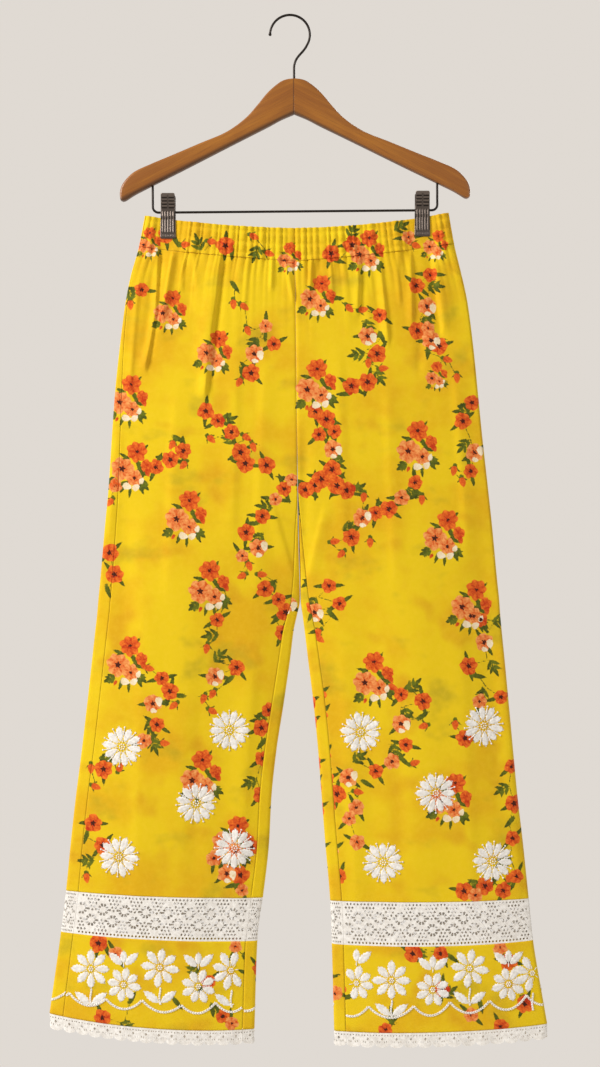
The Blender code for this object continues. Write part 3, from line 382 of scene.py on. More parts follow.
class Cut:
    """One horizontal cut: 0 at the outer edge, + along the front, - along the back."""

    def __init__(self, side, place):
        self.side = side
        self.place = place
        self.row = row = dict(zip(COLUMNS, eased_row(ROWS[side], place)))
        self.closed = place >= CROTCH
        across = 0.5 - 0.5 * np.cos(np.linspace(0, np.pi, 241))
        x = row["x_out"] + (row["x_in"] - row["x_out"]) * across
        width = abs(row["x_in"] - row["x_out"])
        close = row["close"]
        tips = rounding(width * across, row["edge"])
        tips = tips * ((1 - close) + close * rounding(width * (1 - across), row["edge"]))
        swell = (1 - close) * (1 - (1 - across) ** 2.6)
        swell = swell + close * (1 - np.abs(2 * across - 1) ** 2.6)
        near_clip = np.exp(-((x - CLIP_X[side]) / PINCH_WIDTH) ** 4)
        swell = swell * (1 - row["pinch"] * near_clip)
        front = -(row["edge"] * tips + (row["front"] - row["edge"]) * swell)
        back = row["edge"] * tips + (row["back"] - row["edge"]) * swell
        front_run = np.stack([x, front, across], 1)
        back_run = np.stack([x, back, across], 1)
        face_run = front_run[-1] + (back_run[-1] - front_run[-1]) * np.linspace(0, 1, 25)[:, None]
        if self.closed:
            parts = [front_run[120:], face_run, back_run[::-1], front_run, face_run]
            parts.append(back_run[::-1][:120])
            lead = 121 + 25
        else:
            parts = [back_run[::-1], front_run]
            lead = 0
        run = np.concatenate(parts)
        length = np.concatenate([[0], np.cumsum(np.hypot(*np.diff(run[:, :2], axis=0).T))])
        origin = length[lead + 241]
        self.front_length = length[lead + 481] - origin
        self.back_length = origin - length[lead]
        self.face_length = abs(back_run[-1, 1] - front_run[-1, 1]) if self.closed else 0.0
        length = length - origin
        self.at = np.linspace(length[0], length[-1], int((length[-1] - length[0]) / 0.35) + 2)
        self.x, self.y, self.across = (np.interp(self.at, length, run[:, i]) for i in range(3))
        kernel = np.ones(7) / 7
        padded_x = np.pad(self.x, 3, mode="reflect", reflect_type="odd")
        padded_y = np.pad(self.y, 3, mode="reflect", reflect_type="odd")
        run_x = np.gradient(np.convolve(padded_x, kernel, mode="valid"))
        run_y = np.gradient(np.convolve(padded_y, kernel, mode="valid"))
        size = np.hypot(run_x, run_y) + 1e-9
        turn = 1.0 if row["x_in"] > row["x_out"] else -1.0
        self.normal_x = -turn * run_y / size
        self.normal_y = turn * run_x / size
        middle = self.front_length / 2
        self.turn = turn
        self.middle = middle
        self.middle_x = float(np.interp(middle, self.at, self.x))

    def drop(self, across):
        row = self.row
        bent = (1 - row["bow"]) * across + row["bow"] * (1 - (1 - across) ** 2)
        fall = row["drop_out"] + (row["drop_in"] - row["drop_out"]) * bent
        return fall + row["sag"] * 4 * across * (1 - across)

    def unrolled(self, stations):
        """Where stations lie when the cloth is unrolled flat about the middle of the front."""
        return self.middle_x + self.turn * (np.asarray(stations) - self.middle)

    def points(self, stations, ruffle=0.0, lower=0.0):
        """Points, inward directions, unrolled place and drop at stations along the cut."""
        x = np.interp(stations, self.at, self.x)
        y = np.interp(stations, self.at, self.y)
        across = np.interp(stations, self.at, self.across)
        inward = np.stack([
            np.interp(stations, self.at, self.normal_x),
            np.interp(stations, self.at, self.normal_y),
            np.zeros(len(stations)),
        ], 1)
        inward /= np.linalg.norm(inward, axis=1)[:, None]
        drop = self.drop(across) + lower
        width = abs(self.row["x_in"] - self.row["x_out"])
        calm = rounding(width * across, 14.0)
        if self.row["close"] > 0:
            calm = calm * rounding(width * (1 - across) + 14.0 * (1 - self.row["close"]), 14.0)
        out = relief(self.side, x, y, drop) * calm
        if not self.closed:
            out = out - 0.9 * np.exp(-(width * (1 - across) / 1.4) ** 2)
        out = out + ruffle * calm * (1 - np.exp(-((x - CLIP_X[self.side]) / 17.0) ** 4))
        spot = np.stack([x, y, -drop], 1) - inward * out[:, None]
        flat = np.stack([self.unrolled(stations), drop], 1)
        return spot, inward, flat


print("front of the left hem", round(Cut("left", HEM).front_length, 1), "mm")

# %% [markdown]
# ## Sewn panels
#
# Each panel is a dense grid of points on the form. The right side of the cloth has every point;
# the wrong side, which is hardly seen, has every second one, and a rim closes the edges. A
# Solidify modifier would make the wall too, but it would double the number of faces.

# %% Cloth panels


def even_places(side, top, low, step):
    """Places for the rows of a panel, evenly spaced down the cloth, an even number of gaps."""
    fine = np.linspace(top, low, 240)
    drops = np.array([eased_row(ROWS[side], p)[[0, 2]].mean() for p in fine])
    count = 2 * max(1, round((drops[-1] - drops[0]) / step / 2))
    return np.interp(np.linspace(drops[0], drops[-1], count + 1), drops, fine)


def even_count(length, step):
    return 2 * max(1, round(length / step / 2))


class Panel:
    """Grid of points, inward directions and unrolled places; keep marks the cells in use."""

    def __init__(self, side):
        self.side = side
        self.spots = []
        self.inward = []
        self.flat = []
        self.keep = None

    def add(self, *parts):
        self.spots.append(np.concatenate([p[0] for p in parts]))
        self.inward.append(np.concatenate([p[1] for p in parts]))
        self.flat.append(np.concatenate([p[2] for p in parts]))

    def close(self):
        self.spots = np.array(self.spots)
        self.inward = np.array(self.inward)
        self.flat = np.array(self.flat)
        if self.keep is None:
            rows, columns = self.spots.shape[:2]
            self.keep = np.ones(((rows - 1) // 2, (columns - 1) // 2), bool)
        return self


def seam_lower(index, last):
    if index == 0:
        return LEVEL_TRIM
    return -LEVEL_TRIM if index == last else 0.0


GATHERS = 25
GATHER_CHANCE = np.random.default_rng(7)
GATHER_SIZE = {key: GATHER_CHANCE.uniform(0.45, 1.3, GATHERS + 1) for key in ("left", "right")}
GATHER_REACH = {key: GATHER_CHANCE.uniform(9.0, 42.0, GATHERS + 1) for key in ("left", "right")}
GATHER_PLACE = {key: GATHER_CHANCE.uniform(-0.32, 0.32, GATHERS + 1) for key in ("left", "right")}


def gathers(side, part, below, height, sharp=0.75):
    """Uneven gathers along a seam: part runs 0 to 1, below is the distance under the seam."""
    edges = np.arange(GATHERS + 1) + np.where(
        (np.arange(GATHERS + 1) % GATHERS) == 0, 0.0, GATHER_PLACE[side]
    )
    at = np.interp(part * GATHERS, edges, np.arange(GATHERS + 1))
    number = np.clip(at.astype(int), 0, GATHERS - 1)
    crest = np.abs(np.sin(np.pi * (at - number))) ** sharp
    fade = np.exp(-np.maximum(below, 0.0) / GATHER_REACH[side][number])
    return height * GATHER_SIZE[side][number] * crest * fade


def front_panel(side, top, low, step_down, step_across):
    panel = Panel(side)
    places = even_places(side, top, low, step_down)
    widest = Cut(side, low).front_length
    columns = even_count(widest, step_across)
    part = np.linspace(0, 1, columns + 1)
    for i, place in enumerate(places):
        cut = Cut(side, place)
        start = cut.row["wrap_out"] + TRIM
        end = cut.front_length - cut.row["wrap_in"] - (TRIM if cut.closed else 0.03)
        below = cut.row["drop_in"] - ROWS[side][WAIST][2]
        ruffle = gathers(side, part, below, 2.0) if place < 4 else 0.0
        panel.add(cut.points(start + (end - start) * part, ruffle, seam_lower(i, len(places) - 1)))
    return panel.close()


def back_panel(side, top, low, step_down, step_across):
    """The back, carried round both edges to the seams that show on the front."""
    panel = Panel(side)
    places = even_places(side, top, low, step_down)
    crotch_row = 0
    if top < CROTCH < low:
        above = even_places(side, top, CROTCH, step_down)
        places = np.concatenate([above, even_places(side, CROTCH, low, step_down)[1:]])
        crotch_row = len(above) - 1
    widest = Cut(side, low)
    outer = even_count(18.0, 1.6)
    across = even_count(widest.back_length, step_across)
    inner = even_count(widest.face_length + 17.0, 2.2)
    part = np.linspace(0, 1, across + 1)
    for i, place in enumerate(places):
        cut = Cut(side, place)
        below = cut.row["drop_in"] - ROWS[side][WAIST][2]
        lower = seam_lower(i, len(places) - 1)
        around = np.linspace(cut.row["wrap_out"] - TRIM, 0.0, outer + 1)[:-1]
        end = -cut.back_length + (0.0 if cut.closed else TRIM)
        back = end * part
        ruffle = gathers(side, part, below, 1.8) if place < 4 else 0.0
        last = -cut.back_length - cut.face_length - cut.row["wrap_in"] + TRIM
        rest = np.linspace(end, last if cut.closed else end - 0.01, inner + 1)[1:]
        panel.add(cut.points(around, 0.0, lower), cut.points(back, ruffle, lower),
                  cut.points(rest, 0.0, lower))
    panel.close()
    if crotch_row:
        panel.keep[:crotch_row // 2, (outer + across) // 2:] = False
    return panel


def used_edges(keep):
    """Edges of the kept cells that no second cell shares, as pairs of grid corners."""
    rows, columns = keep.shape
    found = []
    for r, c in np.argwhere(keep):
        around = (
            ((r, c), (r + 1, c), r, c - 1), ((r + 1, c), (r + 1, c + 1), r + 1, c),
            ((r + 1, c + 1), (r, c + 1), r, c + 1), ((r, c + 1), (r, c), r - 1, c),
        )
        for a, b, nr, nc in around:
            if not (0 <= nr < rows and 0 <= nc < columns and keep[nr, nc]):
                found.append((a, b))
    return found


def cloth_piece(name, panel, wall, ink=None):
    """A closed cloth mesh from a panel, with its print and its own map."""
    spots, inward = panel.spots, panel.inward
    rows, columns = spots.shape[:2]
    dense = np.arange(rows * columns).reshape(rows, columns)
    coarse_spots = (spots + inward * wall)[::2, ::2]
    coarse = rows * columns + np.arange(coarse_spots[..., 0].size).reshape(coarse_spots.shape[:2])
    cells = np.repeat(np.repeat(panel.keep, 2, 0), 2, 1)
    r, c = np.nonzero(cells)
    outer = np.stack([dense[r, c], dense[r + 1, c], dense[r + 1, c + 1], dense[r, c + 1]], 1)
    r, c = np.nonzero(panel.keep)
    inner = np.stack([coarse[r, c], coarse[r, c + 1], coarse[r + 1, c + 1], coarse[r + 1, c]], 1)
    rim = []
    for a, b in used_edges(panel.keep):
        low = dense[2 * a[0], 2 * a[1]]
        high = dense[2 * b[0], 2 * b[1]]
        middle = dense[a[0] + b[0], a[1] + b[1]]
        rim += [(middle, low, coarse[a]), (middle, coarse[a], coarse[b]), (high, middle, coarse[b])]
    first = outer[len(outer) // 2]
    where = spots.reshape(-1, 3)[first]
    face_way = np.cross(where[1] - where[0], where[2] - where[0])
    flip = np.dot(face_way, inward.reshape(-1, 3)[first[0]]) > 0
    quads = np.concatenate([outer, inner])
    rim = np.array(rim)
    if flip:
        quads, rim = quads[:, ::-1], rim[:, ::-1]
    points = np.concatenate([spots.reshape(-1, 3), coarse_spots.reshape(-1, 3)]) * MM
    flat = np.concatenate([panel.flat.reshape(-1, 2), panel.flat[::2, ::2].reshape(-1, 2)])
    grid = np.stack(np.meshgrid(np.linspace(0, 1, columns), np.linspace(1, 0, rows)), -1)
    chart = np.concatenate([
        (grid * (0.77, 0.98) + (0.01, 0.01)).reshape(-1, 2),
        (grid[::2, ::2] * (0.19, 0.98) + (0.80, 0.01)).reshape(-1, 2),
    ])
    used = np.unique(np.concatenate([quads.ravel(), rim.ravel()]))
    number = -np.ones(len(points), int)
    number[used] = np.arange(len(used))
    quads, rim = number[quads], number[rim]
    points, flat, chart = points[used], flat[used], chart[used]
    mesh = bpy.data.meshes.new(name)
    mesh.vertices.add(len(points))
    mesh.vertices.foreach_set("co", points.ravel())
    corners = np.concatenate([quads.ravel(), rim.ravel()]).astype(np.int32)
    mesh.loops.add(len(corners))
    mesh.loops.foreach_set("vertex_index", corners)
    starts = np.concatenate([np.arange(len(quads)) * 4, len(quads) * 4 + np.arange(len(rim)) * 3])
    mesh.polygons.add(len(starts))
    mesh.polygons.foreach_set("loop_start", starts.astype(np.int32))
    mesh.update(calc_edges=True)
    mesh.validate()
    mesh.shade_smooth()
    mesh.uv_layers.new(name="OFBake")
    corner_chart = chart[corners]
    rim_from = len(quads) * 4
    corner_chart[rim_from:, 0] = 0.785 + 0.01 * (corner_chart[rim_from:, 0] > 0.79)
    mesh.uv_layers["OFBake"].data.foreach_set("uv", corner_chart.ravel())
    laid = mesh.attributes.new("laid_flat", "FLOAT_VECTOR", "POINT")
    laid.data.foreach_set("vector", np.concatenate([flat * MM, 0 * flat[:, :1]], 1).ravel())
    if ink is not None:
        layers = ink(flat)
        for title, chosen in (("ink_leaves", layers[:, :3]), ("ink_flowers", layers[:, 3:6])):
            made = mesh.attributes.new(title, "FLOAT_VECTOR", "POINT")
            made.data.foreach_set("vector", np.ascontiguousarray(chosen).ravel())
    thing = bpy.data.objects.new(name, mesh)
    bpy.context.scene.collection.objects.link(thing)
    triangles = 2 * len(quads) + len(rim)
    area = panel_area(panel)
    print(name, "triangles", triangles, "cloth", round(area, 4), "square metres")
    return thing


def panel_area(panel):
    """Area of the right side of a panel in square metres."""
    s = panel.spots * MM
    cells = np.repeat(np.repeat(panel.keep, 2, 0), 2, 1)
    one = np.cross(s[1:, :-1] - s[:-1, :-1], s[1:, 1:] - s[:-1, :-1])
    two = np.cross(s[1:, 1:] - s[:-1, :-1], s[:-1, 1:] - s[:-1, :-1])
    each = (np.linalg.norm(one, axis=2) + np.linalg.norm(two, axis=2)) / 2
    return float(each[cells].sum())


# %% [markdown]
# ## The flower print
#
# Print is flat ink, so it is not modelled. Each motif is drawn from petals, leaves and stems in
# millimetres on the unrolled cloth, and every point of the cloth keeps how deep it lies inside
# each ink. The material turns that depth into colour with a crisp, slightly rough edge. A
# picture would show the same, but an ink depth stays sharp at any size and bends with the folds.

# %% Shapes of the print
LEAF, ORANGE, PEACH, WHITE, DARK, TONE = range(6)


def turned(u, v, x, y, degrees):
    a = math.radians(degrees)
    du, dv = u - x, v - y
    return du * math.cos(a) + dv * math.sin(a), dv * math.cos(a) - du * math.sin(a)


def fill(ink, layer, inside):
    ink[:, layer] = np.maximum(ink[:, layer], inside)


def blossom(ink, layer, u, v, x, y, radius, petals, turn, eye=0.2):
    """A round flower of overlapping petals, darker between them and towards the middle."""
    du, dv = u - x, v - y
    reach = np.hypot(du, dv) + 1e-6
    angle = np.arctan2(dv, du)
    lobe = np.abs(np.cos(petals / 2 * angle + turn))
    ragged = 0.05 * np.sin(3 * angle + 2.1 * turn + x) + 0.04 * np.sin(7 * angle + y)
    inside = radius * (0.78 + 0.22 * lobe ** 0.5 + ragged) - reach
    fill(ink, layer, inside)
    part = np.clip(reach / radius, 0, 1)
    tone = 0.05 + 0.85 * lobe ** 0.8 * part ** 0.8 + 0.16 * np.sin(11 * angle + 9 * part + x)
    on = inside > -1.0
    ink[on, TONE] = np.clip(tone, 0, 1)[on]
    if eye:
        stamens = 1 + 0.45 * np.cos(5 * angle + turn)
        fill(ink, DARK, eye * radius * stamens - reach)


def oval(ink, layer, u, v, x, y, long, short, degrees, tone=None):
    """A pointed leaf or a petal as an oval, slimmer towards its tip."""
    a, b = turned(u, v, x, y, degrees)
    slim = short * (1 - 0.35 * np.clip(a / long, -1, 1))
    inside = (1 - np.sqrt((a / long) ** 2 + (b / slim) ** 2)) * short
    fill(ink, layer, inside)
    if tone is not None:
        on = inside > -0.8
        ink[on, TONE] = (tone + 0.3 * np.clip(a / long, -1, 1))[on]


def stem(ink, u, v, points, width=0.55):
    for (x1, y1), (x2, y2) in zip(points[:-1], points[1:]):
        run = np.array([x2 - x1, y2 - y1], float)
        t = np.clip(((u - x1) * run[0] + (v - y1) * run[1]) / (run @ run), 0, 1)
        fill(ink, LEAF, width - np.hypot(u - x1 - t * run[0], v - y1 - t * run[1]))


def comb(ink, u, v, x, y, length, degrees, pairs=2):
    """A leaf cut into pairs of pointed leaflets along a vein, with one at its tip."""
    a = math.radians(degrees)
    way = (math.cos(a), math.sin(a))
    stem(ink, u, v, ((x, y), (x + way[0] * length, y + way[1] * length)), 0.7)
    oval(ink, LEAF, u, v, x + way[0] * length, y + way[1] * length, 0.34 * length, 2.3, degrees, 0.5)
    for i in range(pairs):
        along = length * (0.08 + 0.80 * i / pairs)
        reach = length * (0.66 - 0.20 * i / pairs)
        for side in (-1, 1):
            b = a + side * 0.78
            oval(ink, LEAF, u, v, x + way[0] * along + math.cos(b) * reach * 0.55,
                 y + way[1] * along + math.sin(b) * reach * 0.55, reach * 0.6, 2.1, math.degrees(b),
                 0.25 + 0.25 * side)


def bud(ink, u, v, x, y, size, degrees, layer=ORANGE):
    """A closed bud with its dark calyx and two narrow leaves."""
    a = math.radians(degrees)
    foot = (x - math.cos(a) * size, y - math.sin(a) * size)
    oval(ink, layer, u, v, x, y, size, size * 0.62, degrees, 0.45)
    oval(ink, LEAF, u, v, *foot, size * 0.6, size * 0.42, degrees, 0.2)
    for side in (-1, 1):
        b = a + side * 0.9
        oval(ink, LEAF, u, v, foot[0] + math.cos(b) * size * 0.8, foot[1] + math.sin(b) * size * 0.8,
             size * 0.75, 1.15, math.degrees(b), 0.6)


def posy(ink, u, v):
    """A bunch: an orange flower over a peach one, white petals and dark leaves below."""
    comb(ink, u, v, -16.0, 16.0, 12.0, 150, 2)
    comb(ink, u, v, 12.0, 14.0, 12.0, 35, 2)
    for x, y, long, short, turn in (
        (-8, 26, 6, 2.4, 110), (9, -4, 7, 2.8, 60), (14, 3, 6, 2.4, 20), (-12, -14, 6, 2.2, 200),
        (16, 24, 5, 2.2, 55), (2, 30, 5, 2.0, 90), (-14, -8, 5, 2.0, 150), (12, -28, 5, 2.0, -50),
    ):
        oval(ink, LEAF, u, v, x, y, long * 1.3, short, turn, 0.4)
    blossom(ink, ORANGE, u, v, 2.9, -21.8, 13.0, 7, 0.4, 0.16)
    blossom(ink, ORANGE, u, v, 17.6, -6.5, 7.8, 5, 1.2, 0.0)
    oval(ink, ORANGE, u, v, 20.5, 2.5, 4.6, 3.2, 70, 0.3)
    oval(ink, ORANGE, u, v, -15.0, 24.5, 3.8, 2.0, 120, 0.3)
    blossom(ink, PEACH, u, v, -12.0, 2.0, 14.6, 7, 1.0, 0.22)
    blossom(ink, PEACH, u, v, 4.6, 11.0, 10.4, 6, 0.3, 0.2)
    for x, y, long, short, turn in (
        (-2.5, 22.5, 5.8, 4.2, 10), (8.8, 22.0, 5.0, 3.8, -35), (14.2, 12.8, 4.4, 3.0, -70),
    ):
        oval(ink, WHITE, u, v, x, y, long, short, turn, 0.5)


def single(ink, u, v, kind, x, y, way, number):
    """One motif of a garland; way is the direction of the stem there."""
    side = 1 if number % 2 else -1
    if kind in "opw":
        for extra in (-1, 1):
            a = way + 90 * extra + 37 * side + 11 * math.sin(x)
            b = math.radians(a)
            oval(ink, LEAF, u, v, x + 12.5 * math.cos(b), y + 12.5 * math.sin(b), 7.6, 2.4, a, 0.4)
    if kind == "o":
        blossom(ink, ORANGE, u, v, x, y, 10.4 + 1.3 * math.sin(x), 5 + number % 2, 0.1 * x, 0.26)
    elif kind == "p":
        blossom(ink, PEACH, u, v, x, y, 9.2 + math.sin(y), 5, 0.1 * y, 0.2)
    elif kind == "w":
        blossom(ink, PEACH, u, v, x, y, 11.6, 6, 0.1 * x, 0.24)
        oval(ink, WHITE, u, v, x + 7.5, y + 2.0 * side, 6.0, 4.0, 80, 0.5)
        oval(ink, WHITE, u, v, x + 1.0, y + 9.0, 4.2, 2.8, 10, 0.5)
    elif kind == "c":
        comb(ink, u, v, x - 6 * math.cos(math.radians(way)), y, 17.5, way + 62 * side)
    elif kind == "b":
        bud(ink, u, v, x, y, 6.3, way + 24 * side)
    else:
        oval(ink, LEAF, u, v, x, y, 10.0, 2.9, way + 40 * side, 0.4)


# %% [markdown]
# The motifs are laid out as they fall on the real trousers: bunches in loose rows, and
# garlands of single flowers, leaves and buds on bent stems between them. Places are in
# millimetres on the unrolled cloth. In a garland, o is an orange flower, p a peach one, w one
# with white petals, c a cut leaf, l a plain leaf and b a bud.

# %% Layout of the print
POSIES = (
    # across, drop, size
    (-148, 369, 0.80), (-93, 420, 0.85), (35, 352, 0.85), (33, 462, 1.00), (182, 449, 0.55),
    (-200, 479, 0.95), (-196, 563, 1.00), (-128, 624, 1.00), (-99, 711, 1.00), (158, 538, 1.00),
    (191, 648, 1.00), (225, 734, 1.00), (-201, 804, 1.00), (104, 824, 1.00), (-109, 945, 1.00),
    (199, 973, 1.00), (-70, 1026, 1.00), (96, 296, 0.85), (0, 303, 0.60), (-175, 284, 0.60),
    (181, 287, 0.60),
)
GARLANDS = """
    l -68 338, b -70 360, b -56 363, b -52 393, p -30 387, c -37 401, o -20 409, w -44 421,
    c -63 437, o -48 445, b -63 457;
    l 58 352, b 74 365, b 91 366, o 111 373, c 89 380, w 96 399, l 114 401, c 91 420, o 108 421,
    b 97 433, b 116 439;
    c 102 443, o 96 456, o 76 461, l 66 471;
    o 174 322, o 157 336, c 173 337, w 170 362, c 162 375, o 158 392, p 171 389, w 175 404,
    o 185 411, l 171 419, b 196 428, b 207 451;
    l -137 527, o -132 541, b -146 534, o -148 552, b -132 559, o -166 561, l -180 567;
    p -217 584, b -224 605;
    o -104 492, o -89 504, c -80 507, o -72 518, b -97 527, o -61 543, c -67 533, b -53 525,
    b -45 537, o -55 557, o -29 559;
    p 2 577, o -7 588, p -18 601, c -25 612, o -34 622, l -47 631, o -54 642, c -32 642, w -39 661,
    p -59 671, b -50 684, b -60 696;
    b -34 694, c -16 704, o -31 712, o -14 725, o -5 741, l -17 750, o -9 766;
    o -224 667, o -218 694, l -226 715;
    b -82 706, c -78 727, o -90 750, c -90 768, b -103 786;
    o 31 493, o 45 502, c 40 511, o 36 521, o 55 517, w 53 539, c 50 552, o 52 564, o 58 584,
    o 70 590, c 82 595, b 91 599, w 89 624, o 106 618, o 122 613, l 133 607, p 138 599, c 147 589,
    o 155 580, b 163 602;
    c 68 638, o 76 648, b 56 653, b 99 655, b 63 669;
    o 19 589, o 31 584, o 39 576;
    o 226 481, c 221 492, o 214 504, c 224 527, w 229 543, o 224 566, b 203 566, b 214 580;
    o 237 750, o 224 745, c 254 752, w 241 778, c 245 800, o 221 807, l 234 820, c 245 835,
    o 262 846, p 235 851, b 204 880, o 216 896;
    o 48 708, c 35 722, o 61 730, w 30 741, l 53 745, b 33 766, b 37 774;
    b -173 810, o -158 822, o -148 838, l -138 843, w -169 853, b -144 856, c -179 874, o -164 879,
    p -180 899, c -165 896, b -154 902;
    c -235 921, o -231 935, b -247 935, b -240 957, b -210 932;
    c -88 802, o -66 809, w -93 820, l -76 825, b -96 842, b -107 848, b -95 863;
    o -26 862, c -30 873, o -35 884, l -35 904, o -34 922, c -41 947, o -35 967, l -32 982;
    o -244 1002, l -253 1019, o -232 1029, c -245 1048, b -252 1070;
    o -47 1032, p -94 1045, c -85 1057, w -78 1064, o -61 1066, p -59 1085, l -72 1079;
    b 127 833, o 137 842, c 152 838, o 164 850, c 137 858, w 137 878, l 164 868, b 164 881,
    c 122 904, o 143 904, p 126 925, l 142 925, b 155 926;
    c 83 926, o 106 937, w 72 945, c 53 952, l 96 953, o 58 966, b 85 963, p 82 982, p 73 996,
    p 83 1025;
    o 33 844, l 35 855, o 37 869, c 40 902, o 41 920, c 51 935, o 44 948, l 45 965, o 46 977;
    p 51 1037, l 53 1050, o 61 1068;
    o 275 932, c 272 955, o 278 978, l 272 1001, o 276 1021, c 273 1044, o 281 1068;
    o 215 1085, c 226 1071, o 241 1079, p 229 1090, l 252 1074, o 264 1085, b 271 1069;
    o -237 1150, l -227 1157, p -215 1163, o -101 1198, c -112 1190, p -67 1155, c -57 1167,
    o -47 1192, l -50 1211;
    o -232 1242, c -205 1248, l -195 1217, l -139 1224, o -83 1241, l -96 1233, p -72 1250;
    o 152 1162, c 162 1156, o 186 1162, l 201 1168, p 260 1156, o 271 1173;
    o 61 1208, l 70 1218, p 50 1226, o 118 1257, c 132 1249, o 188 1206, c 195 1216, l 236 1228,
    p 224 1238, o 291 1226, c 283 1213, o 261 1253;
    o 51 297, l 60 306, o 77 286, c 70 278;
    c 134 268, p 147 276, b 157 286;
    c -106 293, b -96 282, o -80 287, l -72 296;
    b -44 276, c -35 287, b -25 297;
    o -184 341, c -194 348, b -198 360;
    o -154 273, l -142 280, b -129 285;
"""


def garlands_of(text):
    """The garlands as lists of (letter, across, drop)."""
    found = []
    for line in text.replace("\n", " ").split(";"):
        items = [item.split() for item in line.split(",") if item.strip()]
        if items:
            found.append([(kind, float(x), float(y)) for kind, x, y in items])
    return found


def edge_table(side):
    """Drop and unrolled place of a leg's outer edge."""
    cuts = [Cut(side, place) for place in np.linspace(BAND_TOP, HEM, 60)]
    return [float(cut.drop(0.0)) for cut in cuts], [float(cut.unrolled([0.0])[0]) for cut in cuts]


EDGES = {side: edge_table(side) for side in ("left", "right")}


def turned_over(side, x, y):
    """The place on the back that lies behind a place on the front."""
    return 2 * float(np.interp(y, *EDGES[side])) - x, y


def ink_on(flat, over=None):
    """Depth inside each ink at every unrolled point; over names a side whose back is printed."""
    ink = np.full((len(flat), 6), -4.0)
    ink[:, TONE] = 0.5
    lows, highs = flat.min(axis=0), flat.max(axis=0)

    def close_to(x1, y1, x2, y2, reach):
        if x2 + reach < lows[0] or x1 - reach > highs[0] or y2 + reach < lows[1] or y1 - reach > highs[1]:
            return []
        return np.nonzero((flat[:, 0] > x1 - reach) & (flat[:, 0] < x2 + reach)
                          & (flat[:, 1] > y1 - reach) & (flat[:, 1] < y2 + reach))[0]

    for number, garland in enumerate(garlands_of(GARLANDS)):
        shift = 12 * math.sin(2.3 * number) if over else 0.0
        spots = [(turned_over(over, x, y + shift) if over else (x, y)) for _, x, y in garland]
        xs, ys = zip(*spots)
        near = close_to(min(xs), min(ys), max(xs), max(ys), 24)
        if not len(near):
            continue
        part = ink[near].copy()
        u, v = flat[near, 0], flat[near, 1]
        runs = [pair for pair in zip(spots[:-1], spots[1:]) if math.dist(*pair) < 34]
        for pair in runs:
            stem(part, u, v, pair, 0.6)
        for i, (x, y) in enumerate(spots):
            before, after = spots[max(i - 1, 0)], spots[min(i + 1, len(spots) - 1)]
            way = math.degrees(math.atan2(after[1] - before[1], after[0] - before[0]))
            single(part, u, v, garland[i][0], x, y, way, i)
        ink[near] = part
    for number, (x, y, size) in enumerate(POSIES):
        if over:
            x, y = turned_over(over, x, y + 10 * math.cos(1.9 * number))
        near = close_to(x, y, x, y, 52)
        if not len(near):
            continue
        part = ink[near].copy()
        part[:, :5] /= size
        u, v = turned(flat[near, 0], flat[near, 1], x, y, 9 * math.sin(1.3 * number))
        posy(part, u / size, v / size)
        part[:, :5] *= size
        ink[near] = part
    ink[:, :5] = np.clip(ink[:, :5], -4.0, 4.0)
    return ink


def ink_on_both(flat, side):
    """A back panel: its outer wrap carries on the front's print, the rest has the turned one."""
    turn = 1.0 if side == "left" else -1.0
    edge = np.interp(flat[:, 1], *EDGES[side])
    wrap = ((flat[:, 0] - edge) * turn > -1.0)[:, None]
    return np.where(wrap, ink_on(flat), ink_on(flat, side))


print("bunches", len(POSIES), "garlands", len(garlands_of(GARLANDS)))

# %% [markdown]
# ## Printed cotton
#
# The cloth is thin plain-weave cotton, a warm mottled yellow with watery ochre and olive
# patches. The nodes lay the inks over that ground in the order in which they are printed, and a
# fine weave and a few thicker yarns give the surface its bump. A soft sheen is set on the
# shader itself.

# %% Printed cotton


def add_node(tree, kind, **settings):
    made = tree.nodes.new(kind)
    for name, value in settings.items():
        setattr(made, name, value)
    return made


def feed(tree, socket, value):
    """Set a socket to a number or colour, or link it to another node's output."""
    if isinstance(value, bpy.types.NodeSocket):
        tree.links.new(value, socket)
    else:
        socket.default_value = value


def sum_of(tree, kind, a, b=0.0, c=0.0):
    """One step of arithmetic on sockets or numbers."""
    made = add_node(tree, "ShaderNodeMath", operation=kind)
    for socket, value in zip(made.inputs, (a, b, c)):
        feed(tree, socket, value)
    return made.outputs[0]


def span(tree, value, low, high, first=0.0, last=1.0, smooth=True):
    """Map a range of a value to another, smoothly."""
    made = add_node(tree, "ShaderNodeMapRange")
    made.interpolation_type = "SMOOTHSTEP" if smooth else "LINEAR"
    feed(tree, made.inputs["Value"], value)
    for name, number in zip(("From Min", "From Max", "To Min", "To Max"), (low, high, first, last)):
        feed(tree, made.inputs[name], number)
    return made.outputs[0]


def blend_colour(tree, share, a, b, kind="MIX"):
    made = add_node(tree, "ShaderNodeMix", data_type="RGBA", blend_type=kind)
    feed(tree, made.inputs[0], share)
    feed(tree, made.inputs[6], a)
    feed(tree, made.inputs[7], b)
    return made.outputs[2]


def noise(tree, vector, scale, detail=2.0, roughness=0.5, stretch=None):
    """A noise value in a vector's own units, stretched if a row of scales is given."""
    if stretch:
        mapping = add_node(tree, "ShaderNodeMapping")
        feed(tree, mapping.inputs["Vector"], vector)
        mapping.inputs["Scale"].default_value = stretch
        vector = mapping.outputs[0]
    made = add_node(tree, "ShaderNodeTexNoise")
    feed(tree, made.inputs["Vector"], vector)
    made.inputs["Scale"].default_value = scale
    made.inputs["Detail"].default_value = detail
    made.inputs["Roughness"].default_value = roughness
    return made.outputs["Fac"]


